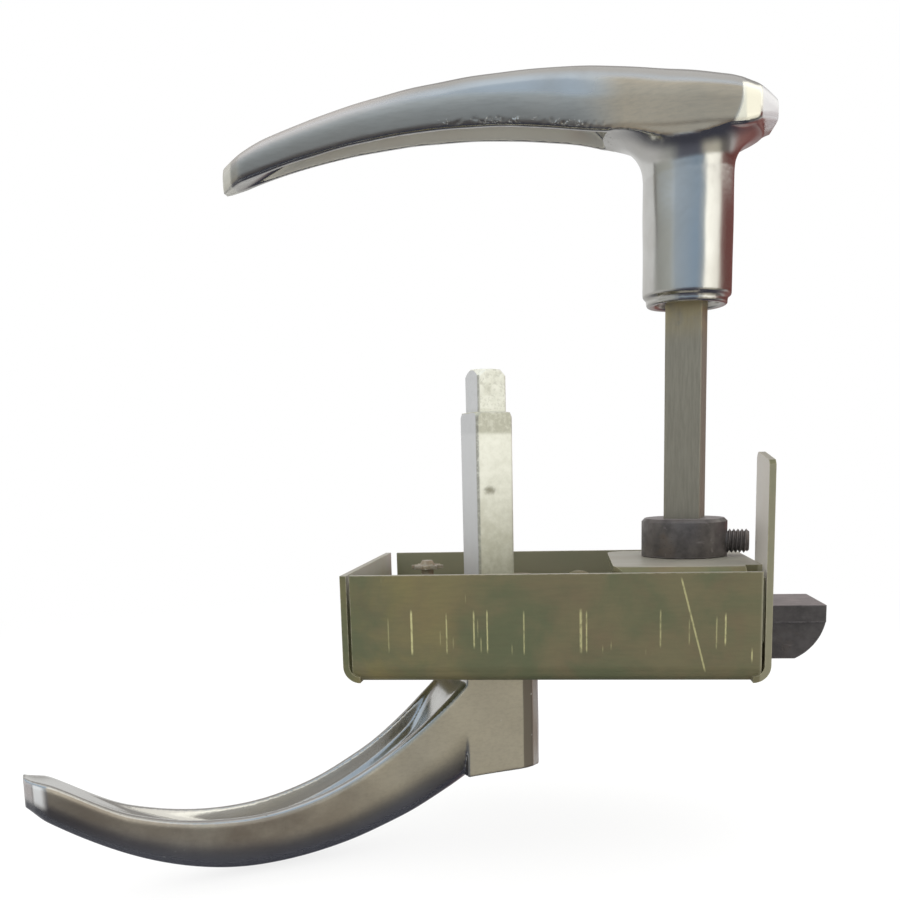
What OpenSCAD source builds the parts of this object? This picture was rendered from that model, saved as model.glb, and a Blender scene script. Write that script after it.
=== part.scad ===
// Tractor door lock: a bent sheet case with a sprung latch bolt, an outer lever
// on a square spindle and an inner lever on a second square spindle.
// Millimetres, +Z towards the outer lever, +X out of the door edge.
// The origin is the middle of the four floor screws, on the underside of the floor.

/* [Case] */
// Length of the case from the left wall to the face plate
case_length = 99; // [90:0.5:110]
// Depth of the case from the front wall to the back wall
case_depth = 60; // [54:0.5:66]
// Height of the case walls above the underside of the floor
case_height = 25.5; // [24:0.25:28]
// Thickness of the case sheet
sheet = 1.5; // [1:0.1:2]
// Outside radius of the bends
bend_radius = 4; // [3:0.25:5]
// Gap between neighbouring walls at the open front corners
corner_gap = 0.7; // [0.5:0.1:2]
// Gap between neighbouring walls at the open back corners
back_gap = 1.9; // [1:0.1:3]
// Height of the highest corner of the face plate tab
tab_top = 52.2; // [46:0.1:56]
// Drop of the tab's slanted top edge towards the front
tab_slant = 1.8; // [0:0.1:4]
// Width of the face plate tab, from the front edge
tab_width = 15; // [12:0.5:20]
// Radius of the back top corner of the tab
tab_corner = 2; // [1:0.5:4]
// Diameter of the fixing screw holes
screw_hole = 5.5; // [4.5:0.1:6.5]
// Distance of the floor screws from the two ends of the case
floor_inset_x = 8.5; // [8:0.5:11]
// Distance of the floor screws from the front and back of the case
floor_inset_y = 8; // [7:0.5:10]
// Distance between the two face plate screws beside the bolt
edge_pitch = 38; // [34:1:42]

/* [Axes] */
// Distance of the outer spindle behind the outside of the face plate
outer_setback = 16.5; // [16:0.25:18]
// Distance between the two spindles
spindle_pitch = 50; // [48:0.5:52]
// Turn of the inner lever and its spindle at rest, in degrees
inner_turn = 30; // [20:1:40]
// Turn of the outer spindle's flats against the outer lever, in degrees
outer_flat_turn = -16; // [-20:1:0]

/* [Latch] */
// Width of the latch bolt across the case
bolt_width = 21; // [18:0.5:22]
// Underside of the latch bolt
bolt_bottom = 1.7; // [1.6:0.05:2]
// Top of the latch bolt
bolt_top = 15; // [14.6:0.1:15.2]
// Reach of the latch bolt beyond the face plate
bolt_reach = 16.8; // [14:0.2:18]
// Radius of the curved nose of the latch bolt
nose_radius = 13; // [11:0.2:13.4]
// Height of the thicker upper band of the bolt
band_height = 4.2; // [3:0.1:5]
// Step between the upper band and the flanks of the nose
band_step = 0.4; // [0.2:0.1:0.8]
// Thickness of the slide plate
slide_thick = 2.5; // [2:0.1:2.6]
// Underside of the slide plate
slide_z = 12; // [11.8:0.05:12]
// Inner edge of the slide tail
tail_inner = 10.8; // [10.6:0.1:11.2]
// Outer edge of the slide tail
tail_outer = 23.5; // [22.5:0.1:24]

/* [Cranks] */
// Radius of the crank pins about their spindles
crank_radius = 17.75; // [17:0.05:18]
// Half of the turn of the handles, in degrees
half_turn = 25; // [22:0.5:26]
// Diameter of the crank pins
pin_diameter = 5; // [4:0.1:5]
// Play between a crank pin and its slot, on the width
pin_play = 0.6; // [0.5:0.05:1]
// Underside of the crank plates
crank_z = 17; // [17:0.05:17.2]
// Thickness of the crank plates
crank_thick = 3; // [2.6:0.1:3.4]
// Radius of the pin end of a crank plate
crank_end = 4.6; // [4:0.1:5]

/* [Posts and spring] */
// Distance of the guide post from the inner spindle, along the case
guide_offset = 23.5; // [22:0.25:25]
// Diameter of the guide post in the slide slot
guide_diameter = 6; // [5:0.1:6.4]
// Distance of the spring post from the inner spindle, along the case
post_offset = 16.5; // [16.2:0.1:17]
// Place of the spring post across the case
post_y = 3; // [1:0.25:4]
// Wire of the return spring
spring_wire = 1.6; // [1.2:0.1:1.6]
// Mean radius of the spring coil
spring_radius = 4.6; // [4.4:0.1:4.7]
// Turns of the spring coil
spring_turns = 3.925; // [2.925:1:3.925]

/* [Outer handle] */
// Side of the outer spindle
outer_square = 9; // [8:0.1:9]
// Diameter of the outer follower's collar
collar_diameter = 21.4; // [20:0.1:22]
// Height of the collar above the bridge
collar_height = 9.6; // [8:0.2:12]
// Radius that the set screw's tip reaches
set_screw_reach = 16; // [14:0.1:16.2]
// Height of the set screw's axis above the bridge
set_screw_rise = 3.7; // [3.5:0.1:5]
// Diameter of the handle's boss
boss_diameter = 21.8; // [20:0.2:23]
// Underside of the spigot below the boss
spigot_z = 87.7; // [80:0.1:92]
// Highest point of the lever's crown
crown_z = 144; // [140:0.25:147]
// Distance of the lever's crown from the spindle
crown_s = 30; // [20:1:40]
// Bending radius of the crown line
crown_bend = 218; // [190:2:250]
// Highest point of the lever's rim line
rim_z = 129.8; // [126:0.1:132]
// Distance of the highest rim point from the spindle
rim_s = 52; // [44:1:60]
// Bending radius of the rim line
rim_bend = 180; // [160:2:220]
// Reach of the outer lever's tip from the spindle
outer_tip = 114.5; // [100:0.5:120]
// Reach of the head behind the spindle
head_reach = 20; // [18:0.1:22]
// Half width of the head
head_half = 13.6; // [12:0.1:14.4]
// Half width of the outer lever beyond the head
neck_half = 7; // [6:0.1:8]
// Mean radius of the fillet between the boss and the head
flare_radius = 8; // [6:0.25:9]
// Half width of the outer lever near its tip
outer_tip_half = 4.6; // [4:0.1:6]
// Depth of the channel in the levers
channel_depth = 5; // [3:0.25:6]
// Thickness of the rims beside the channels
rim_thick = 2.3; // [1.8:0.1:3]

/* [Inner handle] */
// Side of the inner spindle
inner_square = 10; // [9:0.1:10]
// Side of the spindle's reduced tip
tip_square = 7.8; // [7:0.1:8.4]
// Top of the spindle's tip
tip_top = 74; // [68:0.5:78]
// Length of the reduced tip
tip_length = 10.6; // [8:0.2:12]
// Underside of the inner handle's boss
inner_boss_z = -28.5; // [-32:0.25:-26]
// Half depth of the inner boss
inner_boss_half = 9; // [8:0.1:10]
// Reach of the inner boss behind the spindle
inner_boss_back = 10.7; // [9:0.1:12]
// Lowest point of the inner lever
belly_z = -44.5; // [-46:0.25:-42]
// Distance of the lowest point from the spindle
belly_s = 61; // [54:1:68]
// Lowest point of the inner lever's rim line
inner_rim_z = -30.4; // [-33:0.2:-28]
// Distance of the lowest rim point from the spindle
inner_rim_s = 67; // [60:1:74]
// Reach of the inner lever's tip from the spindle
inner_tip = 113.5; // [100:0.5:120]
// Half width of the inner lever beyond its boss
inner_root_half = 7.8; // [7:0.1:9]
// Half width of the inner lever near its tip
inner_tip_half = 4.8; // [4:0.1:6]

/* [Build] */
// Node to show

/* [Hidden] */
$fn = 48;
half_l = case_length / 2;
half_d = case_depth / 2;
outer_x = half_l - outer_setback;
inner_x = outer_x - spindle_pitch;
guide_x = inner_x + guide_offset;
guide_y = (tail_inner + tail_outer) / 2;
post_x = inner_x - post_offset;
floor_pitch_x = case_length - 2 * floor_inset_x;
floor_pitch_y = case_depth - 2 * floor_inset_y;
inner_l = half_l - sheet;
inner_d = half_d - sheet;
travel = 2 * crank_radius * sin(half_turn);
pin_dx = crank_radius * sin(half_turn);
pin_dy = crank_radius * cos(half_turn);
slide_top = slide_z + slide_thick;
bridge_sheet = 1.6;
bridge_flange = 25;
bridge_top = case_height + 1.1;
bridge_low = bridge_top - bridge_sheet;
bridge_left = outer_x - 19;
bridge_back = bridge_flange / 2 + 1.5;
bridge_corner = 5;
collar_top = bridge_top + collar_height;
set_screw_z = bridge_top + set_screw_rise;
slide_end = inner_l - 1;
rivet_x = outer_x + 7.5;
crank_top = crank_z + crank_thick;
journal = 15;
bridge_bore = 19;
inner_journal = 17;
floor_bore = inner_journal + 4;
floor_flange = inner_journal + 6;
post_seat = 10;
post_stem = 7;
post_neck = 3.2;
seat_height = 10.7;
spring_low = sheet + seat_height + 0.85;
spring_high = 20.4;
stem_top = spring_high + spring_wire / 2 + 0.1;
star_z = 23.6;
star_thick = 1;
star_tip = 4.3;
star_root = 2.9;
crank_disc = 21;
tenon = 12;
play = 0.05;
nose_x = half_l + bolt_reach;
bolt_back = outer_x + 1;
tail_end = inner_x - 1;
screw_turn = outer_flat_turn / 2;
boss_z = spigot_z + 2.2;
flare_low = rim_z - 14;
flare_high = rim_z - 1.6;
socket_top = boss_z + 24;
inner_top = -2.4;
olive = [0.45, 0.43, 0.31];
steel = [0.62, 0.62, 0.6];
dark = [0.3, 0.29, 0.28];
chrome = [0.75, 0.75, 0.74];

// A rectangle whose two lower corners are bends of the given radius.
module bent_outline(half, top, r) {
  translate([-half, r]) square([2 * half, top - r]);
  translate([-half + r, 0]) square([2 * (half - r), top]);
  translate([-half + r, r]) circle(r);
  translate([half - r, r]) circle(r);
}

// Floor and two upright walls bent from one sheet, running along Y.
module bent_tray(half, run, top) {
  rotate([90, 0, 0]) linear_extrude(height = run, center = true) difference() {
    bent_outline(half, top, bend_radius);
    translate([0, sheet]) bent_outline(half - sheet, top, bend_radius - sheet);
  }
}

// Outline of the raised tab: a slanted top edge, a small front corner and a round back corner.
module tab_outline() {
  r = tab_corner;
  back = -half_d + tab_width;
  low = case_height - 4;
  front_top = tab_top - tab_slant;
  polygon([[-half_d, low], [back, low], [back, tab_top - r], [back - r, tab_top],
    [-half_d + 1, front_top], [-half_d, front_top - 1]]);
  translate([back - r, tab_top - r]) circle(r);
}

// Case: floor, four walls with open corners, and the face plate with its tab.
module lock_case() {
  color(olive) difference() {
    union() {
      bent_tray(half_l, 2 * (half_d - bend_radius), case_height);
      rotate([0, 0, 90]) bent_tray(half_d, 2 * (inner_l - corner_gap), case_height);
      intersection() {
        bent_tray(half_l, case_depth, case_height);
        union() {
          translate([-half_l - 1, -half_d, -1]) cube([bend_radius + 1, case_depth, case_height + 2]);
          translate([half_l - bend_radius, -half_d, -1]) cube([bend_radius + 1, case_depth, case_height + 2]);
        }
      }
      translate([inner_l, 0, 0]) rotate([90, 0, 90]) linear_extrude(height = sheet) tab_outline();
    }
    translate([inner_l - 6, -bolt_width / 2 - 0.3, sheet]) cube([12, bolt_width + 0.6, bolt_top - sheet + 0.3]);
    translate([inner_x, 0, -1]) cylinder(d = floor_bore, h = 4);
    for (sx = [-1, 1]) {
      for (sy = [-1, 1]) {
        translate([sx * floor_pitch_x / 2, sy * floor_pitch_y / 2, -1]) cylinder(d = screw_hole, h = 4);
      }
      translate([inner_l - 1, sx * edge_pitch / 2, 8.5]) rotate([0, 90, 0]) cylinder(d = screw_hole, h = 4);
    }
    for (x = [-inner_l, inner_l - back_gap]) {
      translate([x, inner_d - 1, bend_radius]) cube([back_gap, sheet + 2, case_height]);
    }
    translate([post_x, post_y, -1]) cylinder(d = 5, h = 4);
    translate([guide_x, guide_y, -1]) cylinder(d = 5, h = 4);
  }
}

// Plan of the bridge, with two rounded left corners and a free back edge.
module bridge_plan() {
  r = bridge_corner;
  depth = inner_d + bridge_back;
  translate([bridge_left + r, -inner_d]) square([inner_l - bridge_left, depth]);
  translate([bridge_left, -inner_d + r]) square([inner_l - bridge_left, depth - 2 * r]);
  translate([bridge_left + r, bridge_back - r]) circle(r);
  translate([bridge_left + r, -inner_d + r]) circle(r);
}

// Bridge over the right half of the case; a front leg and a right leg are spot welded inside the walls.
module bridge_bracket() {
  leg = 17.5;
  bend = 3.4;
  side_leg = 8;
  color(olive) difference() {
    union() {
      intersection() {
        translate([(bridge_left + inner_l) / 2, 0, bridge_top]) rotate([180, 0, 90])
          rotate([90, 0, 0]) linear_extrude(height = inner_l - bridge_left, center = true) difference() {
            bent_outline(inner_d, leg, bend);
            translate([0, bridge_sheet]) bent_outline(inner_d - bridge_sheet, leg, bend - bridge_sheet);
          }
        linear_extrude(height = 40) bridge_plan();
      }
      translate([inner_l - bridge_sheet, -inner_d + 6, bridge_top - side_leg])
        cube([bridge_sheet, inner_d + bridge_back - 6, side_leg - 0.5]);
    }
    translate([outer_x, 0, bridge_low - 1]) cylinder(d = bridge_bore, h = 4);
    translate([inner_l - 4, -inner_d - 1, bridge_low - 1]) cube([5, 5, 4]);
  }
}

// Flanged bush pressed into the bridge from below.
module bridge_bush() {
  color([0.62, 0.55, 0.38]) translate([outer_x, 0, 0]) difference() {
    union() {
      translate([0, 0, bridge_low - 1.8]) cylinder(d = bridge_flange, h = 1.8);
      translate([0, 0, bridge_low - 1.8]) cylinder(d = bridge_bore, h = 1.8 + bridge_sheet);
      translate([0, 0, crank_top + 0.15]) cylinder(d = bridge_bore, h = bridge_low - crank_top - 1);
    }
    translate([0, 0, 10]) cylinder(d = journal + 2 * play, h = 30);
  }
}

// Flanged bush pressed into the floor under the inner follower.
module floor_bush() {
  color([0.62, 0.55, 0.38]) translate([inner_x, 0, 0]) difference() {
    union() {
      cylinder(d = floor_bore, h = sheet + 1.5);
      translate([0, 0, sheet]) cylinder(d = floor_flange, h = 1.5);
    }
    translate([0, 0, -1]) cylinder(d = inner_journal + 2 * play, h = 10);
  }
}

// Spring post: riveted into the floor, with a shoulder under the coil and a thin riveted end.
module spring_post() {
  color(steel) translate([post_x, post_y, 0]) {
    cylinder(d = 5, h = sheet);
    translate([0, 0, sheet]) cylinder(d = post_seat, h = seat_height);
    translate([0, 0, sheet]) cylinder(d = post_stem, h = stem_top - sheet);
    translate([0, 0, sheet]) cylinder(d = post_neck, h = star_z + star_thick - sheet);
    translate([0, 0, star_z + star_thick]) cylinder(d1 = post_neck + 1, d2 = post_neck - 0.6, h = 1.2);
  }
}

// Star washer held on the thin end of the spring post.
module spring_washer() {
  color(steel) translate([post_x, post_y, star_z]) difference() {
    linear_extrude(height = star_thick)
      polygon([for (i = [0:15]) (i % 2 == 0 ? star_tip : star_root) * [cos(22.5 * i), sin(22.5 * i)]]);
    translate([0, 0, -1]) cylinder(d = post_neck, h = 4);
  }
}

// Guide post: a shoulder under the slide plate, a stem in its slot and a domed head.
module guide_post() {
  color(olive) translate([guide_x, guide_y, 0]) {
    cylinder(d = 5, h = sheet);
    translate([0, 0, sheet]) cylinder(d = 9.5, h = slide_z - sheet - 0.1);
    translate([0, 0, sheet]) cylinder(d = guide_diameter, h = 16);
    translate([0, 0, slide_top + 1.3]) cylinder(d = 7.6, h = 3.6);
    translate([0, 0, slide_top + 4.9]) intersection() {
      translate([0, 0, -3.2]) sphere(d = 9.98);
      cylinder(d = 7.6, h = 4);
    }
  }
}

// Washer over the slide plate on the guide post.
module guide_washer() {
  color(steel) translate([guide_x, guide_y, slide_top + 0.15]) difference() {
    cylinder(d = 12.4, h = 1.15);
    translate([0, 0, -1]) cylinder(d = guide_diameter, h = 4);
  }
}

// Rings of points, one per station, joined into a closed tube with flat ends.
module skin(rings, flip = false) {
  n = len(rings);
  m = len(rings[0]);
  points = [for (r = rings) for (p = r) p];
  sides = [for (i = [0:n - 2]) for (j = [0:m - 1]) let (a = i * m + j, b = i * m + (j + 1) % m)
    for (t = [[a, b, b + m], [a, b + m, a + m]]) t];
  caps = [[for (j = [0:m - 1]) m - 1 - j], [for (j = [0:m - 1]) (n - 1) * m + j]];
  faces = concat(sides, caps);
  polyhedron(points = points, faces = flip ? [for (f = faces) [for (k = [len(f) - 1:-1:0]) f[k]]] : faces);
}

// Centre line of the torsion spring: wall leg, coil going down, slide leg.
spring_pts = concat(
  [[-inner_l + 0.85, post_y + spring_radius, spring_high]],
  [for (i = [0:56]) let (k = i / 56, a = 90 - 360 * spring_turns * k)
    [post_x + spring_radius * cos(a), post_y + spring_radius * sin(a), spring_high - (spring_high - spring_low) * k]],
  [[tail_end - 0.9, 15.5, spring_low]]);

// Section of the wire at one point of its line, square to the line.
function unit(v) = v / norm(v);
function wire_ring(p, q, o) = let (t = unit(q - o), u = unit(cross(t, [0.02, 0.03, 1])), v = cross(t, u))
  [for (k = [0:7]) p + spring_wire / 2 * (cos(45 * k) * u + sin(45 * k) * v)];

// Return spring: torsion coil on the spring post, one leg on the wall, one on the slide.
module return_spring() {
  n = len(spring_pts);
  color(steel) skin([for (i = [0:n - 1])
    wire_ring(spring_pts[i], spring_pts[min(i + 1, n - 1)], spring_pts[max(i - 1, 0)])]);
}

// Side outline of the latch bolt with its curved nose, from the tail end to the tip.
module bolt_outline(top) {
  cx = nose_x - nose_radius + 0.3;
  cz = bolt_bottom + nose_radius - 1.2;
  translate([bolt_back, bolt_bottom]) square([cx - bolt_back, top - bolt_bottom]);
  translate([bolt_back, bolt_top - band_height]) square([nose_x - bolt_back, top - bolt_top + band_height]);
  intersection() {
    translate([cx, cz]) circle(nose_radius);
    translate([bolt_back, bolt_bottom]) square([nose_x - bolt_back, top - bolt_bottom]);
  }
}

// Latch bolt: block with a curved nose, a proud upper band and a rebate for the slide plate.
module latch_bolt() {
  color(dark) difference() {
    union() {
      rotate([90, 0, 0]) linear_extrude(height = bolt_width - 2 * band_step, center = true) bolt_outline(bolt_top);
      translate([bolt_back, -bolt_width / 2, bolt_top - band_height])
        cube([nose_x - bolt_back, bolt_width, band_height]);
    }
    translate([bolt_back - 1, -bolt_width, slide_z]) cube([slide_end - bolt_back + 1, 2 * bolt_width, 10]);
    for (sy = [-1, 1]) translate([rivet_x, sy * 5.5, 0]) cylinder(d = 4, h = 30);
    translate([bolt_back - 1, -4, 0]) cube([5, 8, 12]);
  }
}

// Slide plate: riveted on the bolt's tail, with a guide slot and two slots for the crank pins.
module slide_plate() {
  slot = pin_diameter + pin_play;
  color(steel) translate([0, 0, slide_z]) difference() {
    union() {
      translate([outer_x - 11, -9.5, 0]) cube([slide_end - outer_x + 11, tail_outer + 9.5, slide_thick]);
      translate([tail_end, tail_inner, 0]) cube([slide_end - tail_end, tail_outer - tail_inner, slide_thick]);
      translate([outer_x - 14, tail_inner - 3, 0]) cube([4, 4, slide_thick]);
    }
    translate([outer_x - 14, tail_inner - 3, -1]) cylinder(r = 3, h = 9);
    for (ax = [inner_x, outer_x]) translate([ax + pin_dx, 0, -1]) {
      translate([-slot / 2, 14.6, 0]) cube([slot, 5, 9]);
      translate([0, 14.6, 0]) cylinder(d = slot, h = 9);
      translate([0, 19.6, 0]) cylinder(d = slot, h = 9);
    }
    translate([guide_x, guide_y - guide_diameter / 2 - 0.2, -1]) cube([travel, guide_diameter + 0.4, 9]);
    translate([guide_x, guide_y, -1]) cylinder(d = guide_diameter + 0.4, h = 9);
    translate([guide_x + travel, guide_y, -1]) cylinder(d = guide_diameter + 0.4, h = 9);
    for (sy = [-1, 1]) translate([rivet_x, sy * 5.5, -1]) cylinder(d = 4, h = 9);
  }
}

// One rivet through the bolt's tail and the slide plate.
module bolt_rivet(side) {
  color(steel) translate([rivet_x, side * 5.5, 0]) {
    translate([0, 0, bolt_bottom + 0.3]) cylinder(d = 4, h = slide_top - bolt_bottom);
    translate([0, 0, slide_top]) cylinder(d1 = 7, d2 = 4.6, h = 1.5);
  }
}

module front_rivet() {
  bolt_rivet(-1);
}

module rear_rivet() {
  bolt_rivet(1);
}

// Crank plate: a disc on the follower and an arm out to the pin.
module crank_plate(bore, disc) {
  difference() {
    union() {
      cylinder(d = disc, h = crank_thick);
      translate([pin_dx, pin_dy, 0]) cylinder(r = crank_end, h = crank_thick);
      rotate([0, 0, 90 - half_turn]) translate([0, -crank_end, 0]) cube([crank_radius, 2 * crank_end, crank_thick]);
    }
    translate([0, 0, -1]) cylinder(d = bore, h = 9);
    translate([pin_dx, pin_dy, -1]) cylinder(d = pin_diameter, h = 9);
  }
}

// Crank pin: riveted in the crank plate and reaching down through the slide's slot.
module crank_pin() {
  translate([pin_dx, pin_dy, slide_z - 0.6]) cylinder(d = pin_diameter, h = crank_top - slide_z + 0.6);
  translate([pin_dx, pin_dy, crank_top]) cylinder(d1 = 6.6, d2 = 5.6, h = 0.5);
}

module outer_crank() {
  color(steel) translate([outer_x, 0, crank_z]) crank_plate(tenon, crank_disc);
}

module outer_crank_pin() {
  color(steel) translate([outer_x, 0, 0]) crank_pin();
}

module inner_crank() {
  color(steel) translate([inner_x, 0, crank_z]) crank_plate(inner_journal, crank_disc);
}

module inner_crank_pin() {
  color(steel) translate([inner_x, 0, 0]) crank_pin();
}

// Outer follower: collar over the bridge, journal in the bush and tenon for the crank.
module outer_follower() {
  color(dark) translate([outer_x, 0, 0]) difference() {
    union() {
      translate([0, 0, crank_z]) cylinder(d = tenon, h = 8);
      translate([0, 0, crank_top]) cylinder(d = journal, h = 10);
      translate([0, 0, bridge_top + 0.2]) cylinder(d = collar_diameter, h = collar_top - bridge_top - 1);
      translate([0, 0, collar_top - 0.8]) cylinder(d1 = collar_diameter, d2 = collar_diameter - 1.6, h = 0.8);
    }
    rotate([0, 0, outer_flat_turn]) translate([-outer_square / 2, -outer_square / 2, crank_top + 0.4])
      cube([outer_square, outer_square, 40]);
    rotate([0, 0, screw_turn]) translate([4, 0, set_screw_z]) rotate([0, 90, 0]) cylinder(d = 6, h = 20);
  }
}

// Set screw: plain in the collar, with thread ridges on the length that shows.
module set_screw() {
  r0 = 4.98;
  r1 = collar_diameter / 2 + 0.3;
  ridges = floor(set_screw_reach - r1 - 0.4);
  color(dark) translate([outer_x, 0, set_screw_z]) rotate([0, 90, screw_turn]) difference() {
    rotate_extrude() polygon(concat([[0, r0], [3, r0], [3, r1]],
      [for (i = [0:ridges - 1]) for (p = [[2.45, r1 + i + 0.5], [3, r1 + i + 1]]) p],
      [[2.6, set_screw_reach], [0, set_screw_reach]]));
    translate([-0.5, -4, set_screw_reach - 1.5]) cube([1, 8, 3]);
  }
}

// Outer spindle: square bar from the follower's socket up into the handle's boss.
module outer_spindle() {
  z0 = crank_top + 0.4;
  color(steel) translate([outer_x, 0, z0]) rotate([0, 0, outer_flat_turn])
    translate([-outer_square / 2, -outer_square / 2, 0]) cube([outer_square, outer_square, socket_top - z0]);
}

// Height of a line bent to one radius, a distance d from its highest point.
function sag(d, r) = r - sqrt(r * r - d * d);

// Half section from crown to rim to channel: fractions of the crown turn, then rim and channel points.
// Each point is [across, height], with h the height from crown to rim and c the channel depth.
function half_section(w, h, c) = let (e = min(rim_thick, w * 0.6), k = h > 0 ? 1 : -1, g = abs(h), b = 0.58 * g)
  concat(
    [for (i = [0:6]) let (a = 15 * i) [w * sin(a), k * b * (1 - cos(a))]],
    [[w, k * (g - min(1.2, 0.2 * g))], [w - 0.35, k * (g - min(0.35, 0.06 * g))], [w - min(1, 0.2 * w), k * g]],
    [[w - e, k * g], [w - e - min(0.6, 0.1 * w), k * (g - 0.7 * c)], [max(w - e - 2, 0.12 * w), k * (g - c)], [0, k * (g - c)]]);

// Full ring at a distance s from the spindle, with crown height zc and rim height zr.
function lever_ring(s, zc, zr, w, c) = let (f = half_section(w, zr - zc, c), n = len(f))
  concat([for (i = [0:n - 1]) [-s, f[i][0], zc + f[i][1]]], [for (i = [n - 2:-1:1]) [-s, -f[i][0], zc + f[i][1]]]);

// Smooth step from 0 at a to 1 at b.
function ease(x, a, b) = let (t = min(max((x - a) / (b - a), 0), 1)) t * t * (3 - 2 * t);

// Half width of the outer lever: bevelled head, taper along the lever, chamfered tip.
function outer_half(s) = let (
    back = head_reach + s,
    head = head_half * lookup(back, [[0, 0.42], [4.4, 0.82], [5.4, 0.89], [8.7, 1]]),
    run = head_half - (head_half - neck_half) * ease(s, -4, 30) - (neck_half - outer_tip_half) * ease(s, 40, 112),
    tip = lookup(outer_tip - s, [[0, 2.6], [2.6, 1], [4.8, 0]]))
  s < -4 ? head : run - tip;
function outer_crown(s) = crown_z - sag(s - crown_s, crown_bend) - ease(-s, -24, -4) - 0.7 * ease(-s, 8, 14)
  - 0.028 * pow(max(-s - 11, 0), 2) - 2.2 * pow(max(s - outer_tip + 11.6, 0) / 11.6, 2);
function outer_rim(s) = rim_z - sag(max(s, 20) - rim_s, rim_bend) - 1.6 * ease(20 - s, 0, 16)
  + 2.6 * ease(-s, 10, head_reach) - 0.3 * ease(s, outer_tip - 6, outer_tip);
function outer_channel(s) = 0.05 + channel_depth * ease(s, 15, 26) * (1 - ease(s, 84, 112));

// Stations along a lever, closer together at the two ends.
outer_stations = concat([for (b = [0, 1, 2.6, 4.4, 5.4, 7, 8.7]) b - head_reach], [-8, -4, 2, 8, 14, 17, 20, 23, 26],
  [for (s = [32:8:outer_tip - 17]) s], [for (b = [12.5, 8.5, 4.8, 2.6, 1.2, 0]) outer_tip - b]);

// Fillet radius and top of the flare at an angle v from the back of the head; both grow towards the lever.
function flare_size(v) = flare_radius - 1.45 * cos(v);
function flare_top(v) = rim_z - 3.3 - 0.45 * cos(v);

// One ring of the flare, a degrees up the fillet, kept inside the plan of the head.
function flare_ring(a) = [for (j = [0:47]) let (v = 7.5 * j, f = flare_size(v),
    r = boss_diameter / 2 + 0.1 + f * (1 - cos(a)), x = r * cos(v), w = outer_half(-x) - 0.15)
  [x, min(max(r * sin(v), -w), w), flare_top(v) - f + f * sin(a)]];

// Flare between boss and head: rings up the fillet, between two level ends inside the boss and the head.
module neck_flare() {
  low = [for (p = flare_ring(0)) [p[0], p[1], flare_low]];
  high = [for (p = flare_ring(90)) [p[0], p[1], flare_high]];
  skin(concat([low], [for (a = [0:15:90]) flare_ring(a)], [high]), true);
}

// Outer handle: lever with a channel under it, flared boss and spigot, square socket.
module outer_handle() {
  color(chrome) translate([outer_x, 0, 0]) difference() {
    union() {
      skin([for (s = outer_stations) lever_ring(s, outer_crown(s), outer_rim(s), outer_half(s), outer_channel(s))],
        true);
      translate([0, 0, spigot_z]) cylinder(d = boss_diameter - 2, h = 10);
      translate([0, 0, boss_z])
        cylinder(d1 = boss_diameter - 0.2, d2 = boss_diameter + 0.2, h = flare_high - boss_z);
      neck_flare();
    }
    rotate([0, 0, outer_flat_turn]) translate([-outer_square / 2, -outer_square / 2, 0])
      cube([outer_square, outer_square, socket_top]);
  }
}

// Inner lever lines: belly below, rim above, both bent harder on one side.
function inner_crown(s) = belly_z + (s < belly_s ? 0.0052 : 0.008) * pow(s - belly_s, 2)
  + 0.8 * ease(s, inner_tip - 4, inner_tip);
function inner_rim(s) = min(inner_rim_z + (s < inner_rim_s ? 0.0085 : 0.0073) * pow(s - inner_rim_s, 2)
  + 1.6 * ease(s, inner_tip - 22, inner_tip - 6) - 1.3 * ease(s, inner_tip - 6, inner_tip), inner_top - 0.4);
function inner_half(s) = inner_boss_half - (inner_boss_half - inner_root_half) * ease(s, 12, 34)
  - (inner_root_half - inner_tip_half) * ease(s, 30, 112) - lookup(inner_tip - s, [[0, 2.6], [1.8, 1.1], [4.2, 0]]);
function inner_channel(s) = 0.05 + (channel_depth + 0.6) * ease(s, 12, 22) * (1 - ease(s, 60, 104));
inner_stations = concat([0, 6, 9, 12, 14, 17, 20, 24], [for (s = [30:8:inner_tip - 19]) s],
  [for (b = [15, 10, 6, 4.2, 1.8, 0]) inner_tip - b]);

// Plan of the inner boss: two shallow bevels on each flank towards its back end.
module inner_boss_outline() {
  h = inner_boss_half;
  b = inner_boss_back;
  side = [[-11, h], [b - 5.8, h], [b - 2.9, h - 0.6], [b, h - 2.2]];
  polygon(concat(side, [for (i = [3:-1:0]) [side[i][0], -side[i][1]]]));
}

// Inner handle: boss under the case and a lever that dips and rises, with a channel on top.
module inner_handle() {
  color(chrome) translate([inner_x, 0, 0]) rotate([0, 0, inner_turn]) difference() {
    union() {
      skin([for (s = inner_stations) lever_ring(s, inner_crown(s), inner_rim(s), inner_half(s), inner_channel(s))]);
      translate([0, 0, inner_boss_z]) linear_extrude(height = inner_top - inner_boss_z) inner_boss_outline();
    }
    translate([-inner_square / 2, -inner_square / 2, inner_boss_z + 8]) cube([inner_square, inner_square, 40]);
  }
}

// Inner spindle: square bar through the follower, turned shoulder, reduced tip with a turned top.
module inner_spindle() {
  z0 = inner_boss_z + 8;
  shoulder = tip_top - tip_length;
  color([0.8, 0.8, 0.78]) translate([inner_x, 0, 0]) rotate([0, 0, inner_turn]) {
    intersection() {
      translate([-inner_square / 2, -inner_square / 2, z0]) cube([inner_square, inner_square, shoulder - z0]);
      union() {
        translate([0, 0, z0]) cylinder(r = 9, h = shoulder - 5 - z0);
        translate([0, 0, shoulder - 5]) cylinder(r1 = 7.3, r2 = 5.1, h = 5);
      }
    }
    intersection() {
      translate([-tip_square / 2, -tip_square / 2, shoulder - 1]) cube([tip_square, tip_square, tip_length + 1]);
      union() {
        translate([0, 0, shoulder - 1]) cylinder(r = 7, h = tip_length - 1);
        translate([0, 0, tip_top - 2]) cylinder(r1 = 5.6, r2 = 3.8, h = 2);
      }
    }
  }
}

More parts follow.
